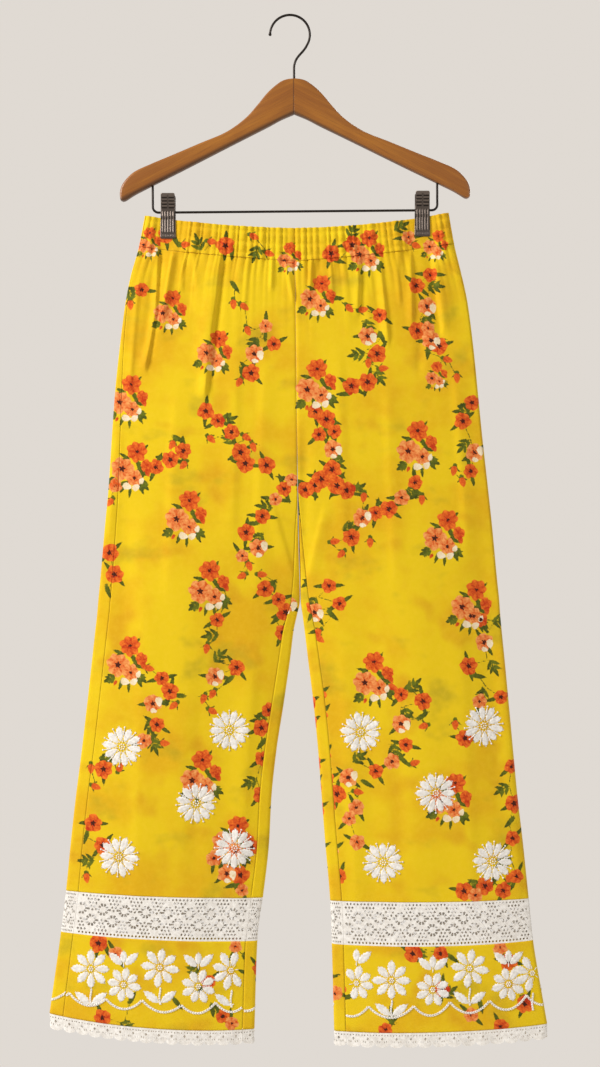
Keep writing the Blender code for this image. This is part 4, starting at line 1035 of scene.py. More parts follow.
def weave_height(tree, laid, threads):
    """Plain weave: warp and weft rise over each other in turn, with thicker yarns here and there."""
    apart = add_node(tree, "ShaderNodeSeparateXYZ")
    feed(tree, apart.inputs[0], laid)
    pitch = math.pi * threads
    warp = sum_of(tree, "SINE", sum_of(tree, "MULTIPLY", apart.outputs[0], pitch))
    weft = sum_of(tree, "SINE", sum_of(tree, "MULTIPLY", apart.outputs[1], pitch))
    over = sum_of(tree, "MULTIPLY", warp, weft)
    yarn = noise(tree, laid, 1.0, 1.0, 0.5, (900.0, 26.0, 1.0))
    thick = noise(tree, laid, 1.0, 1.0, 0.5, (22.0, 900.0, 1.0))
    slubs = sum_of(tree, "ADD", yarn, thick)
    return sum_of(tree, "MULTIPLY_ADD", slubs, 0.9, over)


def colour(red, green, blue):
    """A colour given as it looks on a screen, 0 to 255, as the shader's linear numbers."""
    return tuple(((c / 255) / 12.92 if c < 10.3 else ((c / 255 + 0.055) / 1.055) ** 2.4)
                 for c in (red, green, blue)) + (1.0,)


def printed_cotton(name, inks=True):
    made, tree, shader = plain_material(name, (0.74, 0.44, 0.01), 0.86)
    laid = add_node(tree, "ShaderNodeAttribute", attribute_name="laid_flat").outputs["Vector"]
    wash = noise(tree, laid, 9.0, 3.0, 0.55)
    patch = noise(tree, laid, 17.0, 2.0, 0.5)
    grain = noise(tree, laid, 160.0, 3.0, 0.6)
    ground = blend_colour(tree, span(tree, wash, 0.42, 0.66), colour(234, 200, 8), colour(226, 176, 5))
    ground = blend_colour(tree, span(tree, patch, 0.54, 0.74, 0.0, 0.7), ground, colour(212, 150, 8))
    olive = noise(tree, laid, 13.0, 3.0, 0.55, (1.0, 1.3, 4.0))
    ground = blend_colour(tree, span(tree, olive, 0.55, 0.74, 0.0, 0.7), ground, colour(182, 160, 24))
    ground = blend_colour(tree, span(tree, grain, 0.35, 0.75, 0.0, 0.14), ground, colour(250, 214, 60))
    result = ground
    if inks:
        first = add_node(tree, "ShaderNodeSeparateXYZ")
        second = add_node(tree, "ShaderNodeSeparateXYZ")
        for node, title in ((first, "ink_leaves"), (second, "ink_flowers")):
            source = add_node(tree, "ShaderNodeAttribute", attribute_name=title)
            tree.links.new(source.outputs["Vector"], node.inputs[0])
        rough = sum_of(tree, "SUBTRACT", noise(tree, laid, 420.0, 2.0, 0.6), 0.5)
        tone = second.outputs[2]
        tone = sum_of(tree, "MULTIPLY_ADD", sum_of(tree, "SUBTRACT", grain, 0.5), 0.9, tone)
        tone = sum_of(tree, "MULTIPLY_ADD", rough, 1.3, tone)
        paints = (
            (first.outputs[0], colour(104, 112, 18), colour(44, 54, 8)),
            (first.outputs[1], colour(192, 50, 6), colour(246, 124, 34)),
            (first.outputs[2], colour(216, 84, 18), colour(250, 172, 96)),
            (second.outputs[0], colour(232, 206, 160), colour(250, 240, 214)),
            (second.outputs[1], colour(74, 26, 10), colour(50, 18, 8)),
        )
        for depth, dark, light in paints:
            depth = sum_of(tree, "MULTIPLY_ADD", rough, 2.0, depth)
            paint = blend_colour(tree, tone, dark, light)
            result = blend_colour(tree, span(tree, depth, -0.35, 0.45), result, paint)
    tree.links.new(result, shader.inputs["Base Color"])
    shader.inputs["Sheen Weight"].default_value = 0.12
    shader.inputs["Sheen Roughness"].default_value = 0.5
    shader.inputs["Specular IOR Level"].default_value = 0.25
    bump = add_node(tree, "ShaderNodeBump")
    bump.inputs["Strength"].default_value = 0.35
    bump.inputs["Distance"].default_value = 0.00012
    feed(tree, bump.inputs["Height"], weave_height(tree, laid, 2200.0))
    tree.links.new(bump.outputs[0], shader.inputs["Normal"])
    return made


COTTON = printed_cotton("printed yellow cotton")
print("printed cotton has", len(COTTON.node_tree.nodes), "nodes")

# %% [markdown]
# ## Legs
#
# Each leg has a front and a back. The back is cut wider: it is carried round the sides, so the
# seams lie on the front, a finger's width from the edge. All four are hung sheets of cloth.

# %% Legs
SHEETS = {}
PANELS = {}


def sew(name, panel, wall, finish, node, ink=None):
    """Make a cloth piece that stands for a node of the model, and note it as a sheet."""
    thing = cloth_piece(name, panel, wall, ink)
    thing.data.materials.append(finish)
    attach(thing, "root")
    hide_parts(node)
    flat = panel.flat.reshape(-1, 2)
    # The back casing is laid out from both sides: the jump at its middle isn't cloth.
    steps = np.abs(np.diff(panel.flat[-1][:, 0]))
    width = float(steps[steps < 20.0].sum()) * MM
    length = float(np.ptp(flat[:, 1])) * MM
    area = min(panel_area(panel), width * length)
    SHEETS[name] = (width, length, area)
    PANELS[name] = panel
    return thing


FRONT_STEP = 1.7
BACK_STEP = 2.4
for side in ("left", "right"):
    panel = front_panel(side, WAIST, LACE_TOP, FRONT_STEP, FRONT_STEP)
    sew(f"front_leg_{side}", panel, WALL, COTTON, f"leg_front_{side}", ink_on)
    panel = back_panel(side, WAIST, LACE_TOP, BACK_STEP, BACK_STEP)
    sew(f"back_leg_{side}", panel, WALL, COTTON, f"leg_back_{side}",
        lambda flat: ink_on_both(flat, side))

# %% [markdown]
# ## Waistband
#
# The band is a casing gathered on elastic. Its cloth rises in uneven ridges between the rows of
# stitching and stands up in a small frill over the top row. Front and back meet at the sides.

# %% Waistband


def band_panel(face, step_down, step_across):
    panel = Panel("left")
    halves = {}
    for side in ("left", "right"):
        places = even_places(side, BAND_TOP, WAIST, step_down)
        cuts = [Cut(side, place) for place in places]
        columns = even_count(cuts[-1].front_length, step_across)
        halves[side] = (cuts, columns)
    for i in range(len(halves["left"][0])):
        got = []
        for side in ("left", "right"):
            cuts, columns = halves[side]
            cut = cuts[i]
            part = np.linspace(0, 1, columns + 1)
            down = i / (len(cuts) - 1)
            if face == "front":
                start, end = cut.row["wrap_out"] + TRIM, cut.front_length
            else:
                start, end = cut.row["wrap_out"] - TRIM, -cut.back_length
            held = min(abs(down - 0.16), abs(down - 0.5), abs(down - 0.84))
            strong = 0.62 + 0.75 * float(eased(held / 0.12)) * 0.6
            ruffle = gathers(side, part, np.zeros(len(part)), 2.8 * strong, 0.6)
            ruffle = ruffle + 0.3 * gathers(side, np.abs(part * 2.3 % 1.0), 0 * part, 1.0) * (1 - part)
            lower = -LEVEL_TRIM if i == len(cuts) - 1 else 0.0
            got.append(cut.points(start + (end - start) * part, ruffle, lower))
        left, right = got
        join = [(l[-1:] + r[-1:]) / 2 for l, r in zip(left, right)]
        panel.add([l[:-1] for l in left], join, [r[:-1][::-1] for r in right])
    return panel.close()


for face in ("front", "back"):
    panel = band_panel(face, 1.3, 1.25)
    sew(f"waist_casing_{face}", panel, WALL, COTTON, f"waistband_{face}", ink_on)

# %% [markdown]
# ## Hem bands
#
# Under the lace each leg ends in a straight band of the same cloth, which carries the
# embroidery. It is cut and hung as the legs are.

# %% Hem bands
for side in ("left", "right"):
    panel = front_panel(side, LACE_LOW, HEM, 2.0, 2.0)
    sew(f"hem_front_{side}", panel, WALL, COTTON, f"hem_band_front_{side}", ink_on)
    panel = back_panel(side, LACE_LOW, HEM, 2.6, 2.6)
    sew(f"hem_back_{side}", panel, WALL, COTTON, f"hem_band_back_{side}",
        lambda flat: ink_on_both(flat, side))

# %% [markdown]
# ## Finding a place on the cloth
#
# Lace and embroidery are laid on the cloth by its unrolled places. This helper turns such a
# place into a point on the hanging surface, lifted by any height, so a stitch sits on the cloth
# however it folds. Shrinkwrap could pull flat pieces onto it, but it would stretch them.

# %% Places on the cloth


class Surface:
    """The right side of a panel, asked for by unrolled place."""

    def __init__(self, panel):
        self.spots = panel.spots
        self.inward = panel.inward
        self.flat = panel.flat
        self.rows, self.columns = self.spots.shape[:2]
        self.way = 1.0 if self.flat[0, -1, 0] > self.flat[0, 0, 0] else -1.0

    def mix(self, grid, r, c):
        r = np.clip(r, 0, self.rows - 1.001)
        c = np.clip(c, 0, self.columns - 1.001)
        i, j = r.astype(int), c.astype(int)
        a, b = (r - i), (c - j)
        if grid.ndim == 3:
            a, b = a[:, None], b[:, None]
        top = grid[i, j] * (1 - b) + grid[i, j + 1] * b
        low = grid[i + 1, j] * (1 - b) + grid[i + 1, j + 1] * b
        return top * (1 - a) + low * a

    def column(self, row, across):
        """The column under each unrolled place, on the row given for it."""
        found = np.empty(len(across))
        for i in np.unique(row):
            on = row == i
            run = self.flat[i, :, 0] * self.way
            found[on] = np.interp(across[on] * self.way, run, np.arange(self.columns))
        return found

    def grid_place(self, across, drop):
        across, drop = np.asarray(across, float), np.asarray(drop, float)
        middle = self.flat[:, self.columns // 2, 1]
        count = np.arange(self.rows)
        r = np.interp(drop, middle, count)
        step = np.mean(np.diff(middle))
        for _ in range(4):
            low = np.clip(r.astype(int), 0, self.rows - 2)
            part = np.clip(r - low, 0, 1)
            c = self.column(low, across) * (1 - part) + self.column(low + 1, across) * part
            r = r + (drop - self.mix(self.flat[..., 1], r, c)) / step
        return r, c

    def holds(self, across, drop, margin=1.0):
        r, c = self.grid_place([across], [drop])
        edge = int(np.clip(r[0], 0, self.rows - 1))
        run = self.flat[edge, :, 0] * self.way
        inside = run[0] + margin < across * self.way < run[-1] - margin
        return -0.01 < r[0] < self.rows - 0.99 and inside

    def at(self, across, drop, lift=0.0):
        """Points lifted off the cloth, and the outward directions there."""
        r, c = self.grid_place(across, drop)
        out = -self.mix(self.inward, r, c)
        lift = np.asarray(lift, float)
        return self.mix(self.spots, r, c) + out * (lift[:, None] if lift.ndim else lift), out

    def at_part(self, u, v):
        r, c = v * (self.rows - 1), u * (self.columns - 1)
        return self.mix(self.spots, r, c), self.mix(self.inward, r, c)


def plain_piece(name, points, faces, finish, slot, sharp=40):
    """A piece from points in millimetres and faces that already point outwards."""
    mesh = bpy.data.meshes.new(name)
    mesh.from_pydata([tuple(p) for p in np.asarray(points) * MM], [], [tuple(map(int, f)) for f in faces])
    mesh.validate()
    mesh.shade_smooth()
    mesh.set_sharp_from_angle(angle=math.radians(sharp))
    thing = bpy.data.objects.new(name, mesh)
    bpy.context.scene.collection.objects.link(thing)
    mesh.materials.append(finish)
    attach(thing, "root")
    print(name, "faces", len(mesh.polygons))
    return thing


# %% [markdown]
# ## Lace bands
#
# The band between leg and hem is cotton lace: two staggered rows of ring flowers with radial
# slots, and triangles of eyelets along both edges. The holes are cut in the flat first, in one
# triangulation of the whole band, and the result is laid on the leg and given its wall. Real
# holes let the far side show through, which a see-through material would only pretend.

# %% Lace pattern
from mathutils.geometry import delaunay_2d_cdt

LACE_PITCH = 25.4
LACE_HEIGHT = 53.0


def diamond(x, y, wide, high):
    return [(x - wide, y), (x, y - high), (x + wide, y), (x, y + high)]


def ring_slots(x, y, count, inner, outer, wide, turn):
    """Radial slots round a ring flower that fills a diamond, each wider at its outer end."""
    slots = []
    for i in range(count):
        a = 2 * math.pi * i / count + turn
        way, across = (math.cos(a), math.sin(a)), (-math.sin(a), math.cos(a))
        far = outer / (abs(way[0]) + abs(way[1])) ** 0.8
        corners = ((inner, -0.3), (inner, 0.3), (far - 0.9, 0.5), (far, 0.0), (far - 0.9, -0.5))
        slots.append([(x + way[0] * r + across[0] * w * wide, y + way[1] * r + across[1] * w * wide)
                      for r, w in corners])
    return slots


def band_holes(count):
    """All holes of a lace band of count repeats."""
    holes = []
    for i in range(-1, count + 1):
        up, low = (i + 0.25) * LACE_PITCH, (i + 0.75) * LACE_PITCH
        holes += ring_slots(up, 19.6, 10, 3.8, 9.8, 3.2, 0.0)
        holes += ring_slots(low, 33.4, 10, 3.8, 9.8, 3.2, 0.0)
        for row, (number, near) in enumerate(((4, 7.6), (3, 12.0), (2, 16.2), (1, 20.4))):
            for k in range(number):
                shift = (k - (number - 1) / 2) * 4.1
                holes.append(diamond(low + shift, near, 1.7, 1.9))
                holes.append(diamond(up + shift, LACE_HEIGHT - near, 1.7, 1.9))
        for k in range(6):
            holes.append(diamond(up + (k - 1.0) * LACE_PITCH / 6, 3.2, 1.5, 1.7))
            holes.append(diamond(up + (k - 1.0) * LACE_PITCH / 6, LACE_HEIGHT - 3.2, 1.5, 1.7))
    width = count * LACE_PITCH
    return [h for h in holes if min(p[0] for p in h) > 1.0 and max(p[0] for p in h) < width - 1.0]


def cut_flat(outline, holes):
    """Triangles of a flat outline with holes: points and corner numbers."""
    corners = [Vector(p) for p in outline]
    edges = [(i, (i + 1) % len(outline)) for i in range(len(outline))]
    for hole in holes:
        start = len(corners)
        corners += [Vector(p) for p in hole]
        edges += [(start + i, start + (i + 1) % len(hole)) for i in range(len(hole))]
    made = delaunay_2d_cdt(corners, edges, [], 1, 1e-5)
    points = np.array([tuple(p) for p in made[0]])
    faces = np.array([f for f in made[2] if len(f) == 3])
    middle = points[faces].mean(1)
    gone = np.zeros(len(faces), bool)
    for hole in holes:
        ring = np.array(hole)
        low, high = ring.min(0), ring.max(0)
        near = np.nonzero(((middle > low) & (middle < high)).all(1))[0]
        inside = np.zeros(len(near), bool)
        x, y = middle[near].T
        for (x1, y1), (x2, y2) in zip(ring, np.roll(ring, -1, 0)):
            crosses = (y1 > y) != (y2 > y)
            inside ^= crosses & (x < (x2 - x1) * (y - y1) / (y2 - y1 + 1e-12) + x1)
        gone[near[inside]] = True
    a, b, c = (points[faces[:, i]] for i in range(3))
    turn = (b[:, 0] - a[:, 0]) * (c[:, 1] - a[:, 1]) - (b[:, 1] - a[:, 1]) * (c[:, 0] - a[:, 0])
    faces[turn < 0] = faces[turn < 0][:, ::-1]
    return points, faces[~gone]


def two_sided(spots, inward, faces, wall):
    """Close an open sheet: its wrong side and the rims of its edges and holes."""
    first = faces[len(faces) // 2]
    way = np.cross(spots[first[1]] - spots[first[0]], spots[first[2]] - spots[first[0]])
    if np.dot(way, inward[first[0]]) > 0:
        faces = faces[:, ::-1]
    count = len(spots)
    pairs = np.concatenate([faces[:, [0, 1]], faces[:, [1, 2]], faces[:, [2, 0]]])
    key = pairs[:, 0].astype(np.int64) * count + pairs[:, 1]
    back = pairs[:, 1].astype(np.int64) * count + pairs[:, 0]
    open_edges = pairs[~np.isin(key, back)]
    rim = [(b, a, a + count, b + count) for a, b in open_edges]
    points = np.concatenate([spots, spots + inward * wall])
    return points, [tuple(f) for f in faces] + [tuple(f[::-1] + count) for f in faces] + rim


def band_of(side, face):
    if face == "front":
        return front_panel(side, LACE_TOP, LACE_LOW, 4.0, 4.0)
    return back_panel(side, LACE_TOP, LACE_LOW, 4.0, 4.0)


flat_points, flat_faces = cut_flat([(0, 0), (LACE_PITCH, 0), (LACE_PITCH, LACE_HEIGHT), (0, LACE_HEIGHT)],
                                   band_holes(1))
print("one repeat of the lace", len(flat_faces), "triangles a side")

# %% [markdown]
# The thread is matt off-white cotton. Its crochet shows as a fine cord-like bump.

# %% Cotton thread


def cotton_thread(name, dark, light, threads, depth):
    made, tree, shader = plain_material(name, dark[:3], 0.9)
    place = add_node(tree, "ShaderNodeTexCoord").outputs["Object"]
    mottled = noise(tree, place, 240.0, 2.0, 0.6)
    soft = noise(tree, place, 26.0, 2.0, 0.5)
    tone = blend_colour(tree, span(tree, mottled, 0.3, 0.7), dark, light)
    tone = blend_colour(tree, span(tree, soft, 0.4, 0.8, 0.0, 0.35), tone, dark)
    tree.links.new(tone, shader.inputs["Base Color"])
    shader.inputs["Sheen Weight"].default_value = 0.2
    shader.inputs["Specular IOR Level"].default_value = 0.25
    cords = add_node(tree, "ShaderNodeTexWave", wave_type="BANDS", bands_direction="DIAGONAL")
    feed(tree, cords.inputs["Vector"], place)
    cords.inputs["Scale"].default_value = threads
    cords.inputs["Distortion"].default_value = 3.0
    cords.inputs["Detail"].default_value = 2.0
    bump = add_node(tree, "ShaderNodeBump")
    bump.inputs["Strength"].default_value = 0.6
    bump.inputs["Distance"].default_value = depth
    feed(tree, bump.inputs["Height"], sum_of(tree, "ADD", cords.outputs["Fac"], mottled))
    tree.links.new(bump.outputs[0], shader.inputs["Normal"])
    return made


LACE = cotton_thread("cotton lace", colour(230, 226, 220), colour(252, 250, 246), 170.0, 0.0002)
THREAD = cotton_thread("embroidery thread", colour(228, 224, 218), colour(252, 250, 246), 300.0, 0.00016)

# %% Lace bands
for side in ("left", "right"):
    for face in ("front", "back"):
        panel = band_of(side, face)
        surface = Surface(panel)
        width = float(np.ptp(panel.flat[-1][:, 0]))
        count = round(width / LACE_PITCH)
        outline_top = [(x, 0.0) for x in np.linspace(0, count * LACE_PITCH, count * 6 + 1)]
        outline_low = [(x, LACE_HEIGHT) for x, _ in outline_top[::-1]]
        points, faces = cut_flat(outline_top + outline_low, band_holes(count))
        spots, inward = surface.at_part(points[:, 0] / (count * LACE_PITCH), points[:, 1] / LACE_HEIGHT)
        inward = inward / np.linalg.norm(inward, axis=1)[:, None]
        all_points, all_faces = two_sided(spots, inward, faces, LACE_WALL)
        thing = plain_piece(f"lace_band_{face}_{side}", all_points, all_faces, LACE, "lace")
        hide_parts(f"lace_{face}_{side}")
        size = (round(count * LACE_PITCH * MM, 3), round(LACE_HEIGHT * MM, 3))
        cloth_area = sum(0.5 * np.linalg.norm(np.cross(spots[b] - spots[a], spots[c] - spots[a]))
                         for a, b, c in faces) * MM * MM
        SHEETS[thing.name] = (*size, cloth_area)

# %% [markdown]
# ## Scalloped edging
#
# A narrower lace is sewn under the hem. Its upper edge is straight, with a diamond and small
# eyelets over each scallop, and its lower edge runs in round lobes with tiny picots.

# %% Edging
EDGING_STRAIGHT = 13.6
EDGING_LOBE = 4.6


def edging_flat(scallops, pitch):
    top = [(x, 0.0) for x in np.linspace(0, scallops * pitch, scallops * 4 + 1)]
    low = []
    for i in range(scallops * 14, -1, -1):
        part = i / 14.0
        lobe = math.sqrt(max(0.0, 1 - (2 * (part % 1.0) - 1) ** 2))
        picot = 0.55 * abs(math.sin(math.pi * part * 5))
        low.append((part * pitch, EDGING_STRAIGHT - 0.3 + EDGING_LOBE * lobe + picot))
    holes = []
    for i in range(scallops):
        x = (i + 0.5) * pitch
        holes.append(diamond(x, 7.6, 1.7, 2.1))
        for dx, dy, size in ((-3.6, 3.4, 1.0), (3.6, 3.4, 1.0), (0.0, 3.0, 0.9), (-6.9, 3.2, 0.9), (6.9, 3.2, 0.9)):
            holes.append(diamond(x + dx, dy, size, size * 1.2))
        for dx in (-5.4, -2.9, 2.9, 5.4):
            holes.append(diamond(x + dx, 12.2 - abs(dx) * 0.22, 0.75, 1.5))
    return top + low, holes


for side in ("left", "right"):
    cut = Cut(side, HEM)
    for face, scallops in (("front", 14), ("back", 16)):
        if face == "front":
            start, end = cut.row["wrap_out"] + TRIM, cut.front_length - cut.row["wrap_in"] - TRIM
        else:
            start = cut.row["wrap_out"] - TRIM
            end = -cut.back_length - cut.face_length - cut.row["wrap_in"] + TRIM
        pitch = abs(end - start) / scallops
        outline, holes = edging_flat(scallops, pitch)
        points, faces = cut_flat(outline, holes)
        part = points[:, 0] / (scallops * pitch)
        below = points[:, 1]
        wave = 0.9 * np.sin(2 * np.pi * (part * scallops * 0.5 + 0.1 * np.sin(part * 19))) * below / 18.0
        spots, inward, _ = cut.points(start + (end - start) * part, 0.0, TRIM)
        spots[:, 2] -= below
        spots = spots - inward * wave[:, None]
        all_points, all_faces = two_sided(spots, inward, faces, LACE_WALL)
        thing = plain_piece(f"lace_edging_{face}_{side}", all_points, all_faces, LACE, "lace")
        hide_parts(f"edging_{face}_{side}")
        size = (round(scallops * pitch * MM, 3), round(19.0 * MM, 3))
        cloth_area = sum(0.5 * np.linalg.norm(np.cross(spots[b] - spots[a], spots[c] - spots[a]))
                         for a, b, c in faces) * MM * MM
        SHEETS[thing.name] = (*size, cloth_area)

# %% [markdown]
# ## Embroidery
#
# Off-white thread lies on the cloth: satin-stitched petals and leaves with serrated edges,
# straight stitches with a knot at the end between the petals, knots in the middle and a chain
# stitch that draws the scallops. A petal is one domed piece with a parting down its middle.

# %% Petals in satin stitch


class Needlework:
    """Collects the stitches of one panel: petals as a mesh, straight ones and knots as points."""

    def __init__(self, surface):
        self.surface = surface
        self.points = []
        self.faces = []
        self.spots = []
        self.ways = []
        self.outs = []
        self.sizes = []

    def petal(self, x, y, degrees, length, width, broad=0.66, high=1.0):
        """A petal from its foot at (x, y) along degrees, with y down the cloth, widest at broad."""
        a = math.radians(degrees)
        way = (math.cos(a), math.sin(a))
        if not all(self.surface.holds(x + way[0] * length * t, y + way[1] * length * t, 2.0)
                   for t in (0.1, 0.95)):
            return
        along, across = np.meshgrid(np.linspace(0, 1, 11), np.linspace(-1, 1, 7), indexing="ij")
        power = math.log(0.5) / math.log(broad)
        shape = np.sin(np.pi * (0.06 + 0.84 * along) ** power) ** 0.75
        tooth = np.where(np.arange(11) % 2, 1.0, -1.0)[:, None]
        half = width / 2 * shape * (1 + 0.13 * tooth * (along > 0.2))
        notch = np.where(np.arange(7) % 2, -0.16, 0.04)[None, :] * (along > 0.95)
        run = length * (along * (1 - 0.13 * across ** 2) + notch)
        u = x + way[0] * run - way[1] * across * half
        v = y + way[1] * run + way[0] * across * half
        dome = np.sqrt(1 - across ** 2 * 0.97) * np.clip(np.sin(np.pi * along) * 2.4, 0.35, 1)
        furrow = np.exp(-(across / 0.2) ** 2) * np.clip(2.2 * (1 - along), 0, 1)
        lift = high * dome * (1.05 + 0.14 * tooth - 0.5 * furrow) - 0.2
        spots, out = self.surface.at(u.ravel(), v.ravel(), lift.ravel())
        base = sum(len(p) for p in self.points)
        grid = base + np.arange(77).reshape(11, 7)
        quads = np.stack([grid[:-1, :-1], grid[1:, :-1], grid[1:, 1:], grid[:-1, 1:]], -1).reshape(-1, 4)
        if np.dot(np.cross(spots[28] - spots[21], spots[22] - spots[21]), out[21]) < 0:
            quads = quads[:, ::-1]
        self.points.append(spots)
        self.faces.append(quads)

    def stitch(self, x1, y1, x2, y2, thick=0.75, lift=0.35):
        """A straight stitch between two places."""
        middle = ((x1 + x2) / 2, (y1 + y2) / 2)
        if not self.surface.holds(*middle, 0.8):
            return
        ends, out = self.surface.at([x1, x2], [y1, y2], lift)
        self.note((ends[0] + ends[1]) / 2, ends[1] - ends[0], out[0], thick)

    def note(self, spot, way, out, thick):
        length = float(np.linalg.norm(way))
        self.spots.append(spot)
        self.ways.append(way / (length + 1e-9))
        self.outs.append(out)
        self.sizes.append((length / 2 + 0.25, thick, thick))

    def knot(self, x, y, size=0.95):
        if self.surface.holds(x, y, 0.8):
            spot, out = self.surface.at([x], [y], 0.35)
            self.spots.append(spot[0])
            self.ways.append(np.array([1.0, 0.0, 0.0]))
            self.outs.append(out[0])
            self.sizes.append((size, size, size * 0.8))

    def daisy(self, x, y, turn):
        """A large daisy: petals, matchsticks between them, and a ring of knots."""
        for i in range(10):
            a = 36.0 * i + turn
            r = math.radians(a)
            length = 18.6 + 1.3 * math.sin(3.1 * i + x)
            self.petal(x + 6.6 * math.cos(r), y + 6.6 * math.sin(r), a, length, 9.2, 0.6)
            r = math.radians(a + 18.0)
            for near, far, size in ((13.5, 23.5, 0.7), (5.2, 9.0, 0.5)):
                self.stitch(x + near * math.cos(r), y + near * math.sin(r),
                            x + far * math.cos(r), y + far * math.sin(r), size, 0.55)
            self.knot(x + 24.3 * math.cos(r), y + 24.3 * math.sin(r), 1.25)
        self.middle(x, y, 3.2, 7)

    def middle(self, x, y, reach, knots):
        for i in range(knots):
            r = 2 * math.pi * i / knots
            self.knot(x + reach * math.cos(r), y + reach * math.sin(r), 1.15)
        self.knot(x, y, 1.1)

    def small_daisy(self, x, y, turn, reach):
        for i in range(8):
            a = 45.0 * i + turn
            r = math.radians(a)
            self.petal(x + 5.4 * math.cos(r), y + 5.4 * math.sin(r), a,
                       reach - 5.4 + math.sin(2.3 * i + x), 9.8, 0.6)
            r = math.radians(a + 22.5)
            self.stitch(x + 4.6 * math.cos(r), y + 4.6 * math.sin(r),
                        x + 9.4 * math.cos(r), y + 9.4 * math.sin(r), 0.5, 0.5)
        self.middle(x, y, 2.5, 6)

    def chain(self, places, link=3.2, swing=1.25):
        """Chain stitch along a line of places: two slanted stitches for each link."""
        line = np.array(places, float)
        length = np.concatenate([[0], np.cumsum(np.hypot(*np.diff(line, axis=0).T))])
        for s in np.arange(0, length[-1] - link / 2, link):
            x1, y1 = (np.interp(s, length, line[:, i]) for i in (0, 1))
            x2, y2 = (np.interp(s + link * 1.15, length, line[:, i]) for i in (0, 1))
            dx, dy = x2 - x1, y2 - y1
            d = math.hypot(dx, dy) + 1e-9
            sx, sy = -dy / d * swing, dx / d * swing
            self.stitch(x1, y1, x2 + sx, y2 + sy, 0.8)
            self.stitch(x1, y1, x2 - sx, y2 - sy, 0.8)


# %% [markdown]
# The straight stitches, knots and chain links are one small bead of thread, repeated hundreds of
# times. Geometry Nodes puts one on each point, turned and stretched by the point's own values.

# %% Stitch nodes


def bead_mesh():
    """A small round bead of few faces, one unit in radius."""
    mesh = bpy.data.meshes.new("bead of thread")
    body = bmesh.new()
    bmesh.ops.create_uvsphere(body, u_segments=6, v_segments=5, radius=1.0)
    body.to_mesh(mesh)
    body.free()
    return mesh


def stitch_tree():
    tree = bpy.data.node_groups.new("lay stitches", "GeometryNodeTree")
    face = tree.interface
    face.new_socket("Places", in_out="INPUT", socket_type="NodeSocketGeometry")
    face.new_socket("Bead", in_out="INPUT", socket_type="NodeSocketObject")
    face.new_socket("Thickness", in_out="INPUT", socket_type="NodeSocketFloat").default_value = 1.0
    face.new_socket("Thread", in_out="INPUT", socket_type="NodeSocketMaterial")
    face.new_socket("Stitches", in_out="OUTPUT", socket_type="NodeSocketGeometry")
    source = tree.nodes.new("NodeGroupInput")
    sink = tree.nodes.new("NodeGroupOutput")
    bead = tree.nodes.new("GeometryNodeObjectInfo")
    points = tree.nodes.new("GeometryNodeInstanceOnPoints")
    tree.links.new(source.outputs["Bead"], bead.inputs["Object"])
    tree.links.new(source.outputs["Places"], points.inputs["Points"])
    tree.links.new(bead.outputs["Geometry"], points.inputs["Instance"])
    found = {}
    for name in ("way", "out", "size"):
        found[name] = tree.nodes.new("GeometryNodeInputNamedAttribute")
        found[name].data_type = "FLOAT_VECTOR"
        found[name].inputs["Name"].default_value = name
    along = tree.nodes.new("FunctionNodeAlignRotationToVector")
    along.axis = "X"
    upright = tree.nodes.new("FunctionNodeAlignRotationToVector")
    upright.axis = "Z"
    upright.pivot_axis = "X"
    tree.links.new(found["way"].outputs[0], along.inputs["Vector"])
    tree.links.new(along.outputs[0], upright.inputs["Rotation"])
    tree.links.new(found["out"].outputs[0], upright.inputs["Vector"])
    tree.links.new(upright.outputs[0], points.inputs["Rotation"])
    size = tree.nodes.new("ShaderNodeVectorMath")
    size.operation = "SCALE"
    tree.links.new(found["size"].outputs[0], size.inputs[0])
    tree.links.new(source.outputs["Thickness"], size.inputs["Scale"])
    tree.links.new(size.outputs[0], points.inputs["Scale"])
    real = tree.nodes.new("GeometryNodeRealizeInstances")
    dressed = tree.nodes.new("GeometryNodeSetMaterial")
    tree.links.new(points.outputs[0], real.inputs[0])
    tree.links.new(real.outputs[0], dressed.inputs["Geometry"])
    tree.links.new(source.outputs["Thread"], dressed.inputs["Material"])
    tree.links.new(dressed.outputs[0], sink.inputs[0])
    return tree


STITCHES = stitch_tree()
BEAD = bpy.data.objects.new("bead_of_thread", bead_mesh())


def lay_stitches(name, work, thread):
    """Stitches of a panel as one plain mesh, with its petals."""
    mesh = bpy.data.meshes.new(name + "_places")
    spots = np.array(work.spots) * MM
    mesh.vertices.add(len(spots))
    mesh.vertices.foreach_set("co", spots.ravel())
    for title, rows in (("way", work.ways), ("out", work.outs), ("size", np.array(work.sizes) * MM)):
        made = mesh.attributes.new(title, "FLOAT_VECTOR", "POINT")
        made.data.foreach_set("vector", np.array(rows, float).ravel())
    holder = bpy.data.objects.new(name + "_places", mesh)
    bpy.context.scene.collection.objects.link(holder)
    step = holder.modifiers.new("lay stitches", "NODES")
    step.node_group = STITCHES
    inputs = {s.name: s.identifier for s in STITCHES.interface.items_tree if s.in_out == "INPUT"}
    step[inputs["Bead"]] = BEAD
    step[inputs["Thickness"]] = 1.0
    step[inputs["Thread"]] = thread
    depsgraph = bpy.context.evaluated_depsgraph_get()
    done = bpy.data.meshes.new_from_object(holder.evaluated_get(depsgraph), depsgraph=depsgraph)
    bpy.data.objects.remove(holder, do_unlink=True)
    points = [np.array([v.co for v in done.vertices]) / MM]
    faces = [tuple(p.vertices) for p in done.polygons]
    base = len(points[0])
    for chunk in work.points:
        points.append(chunk)
    for chunk in work.faces:
        faces += [tuple(f + base) for f in chunk]
    thing = plain_piece(name, np.concatenate(points), faces, thread, "lace", 60)
    return thing
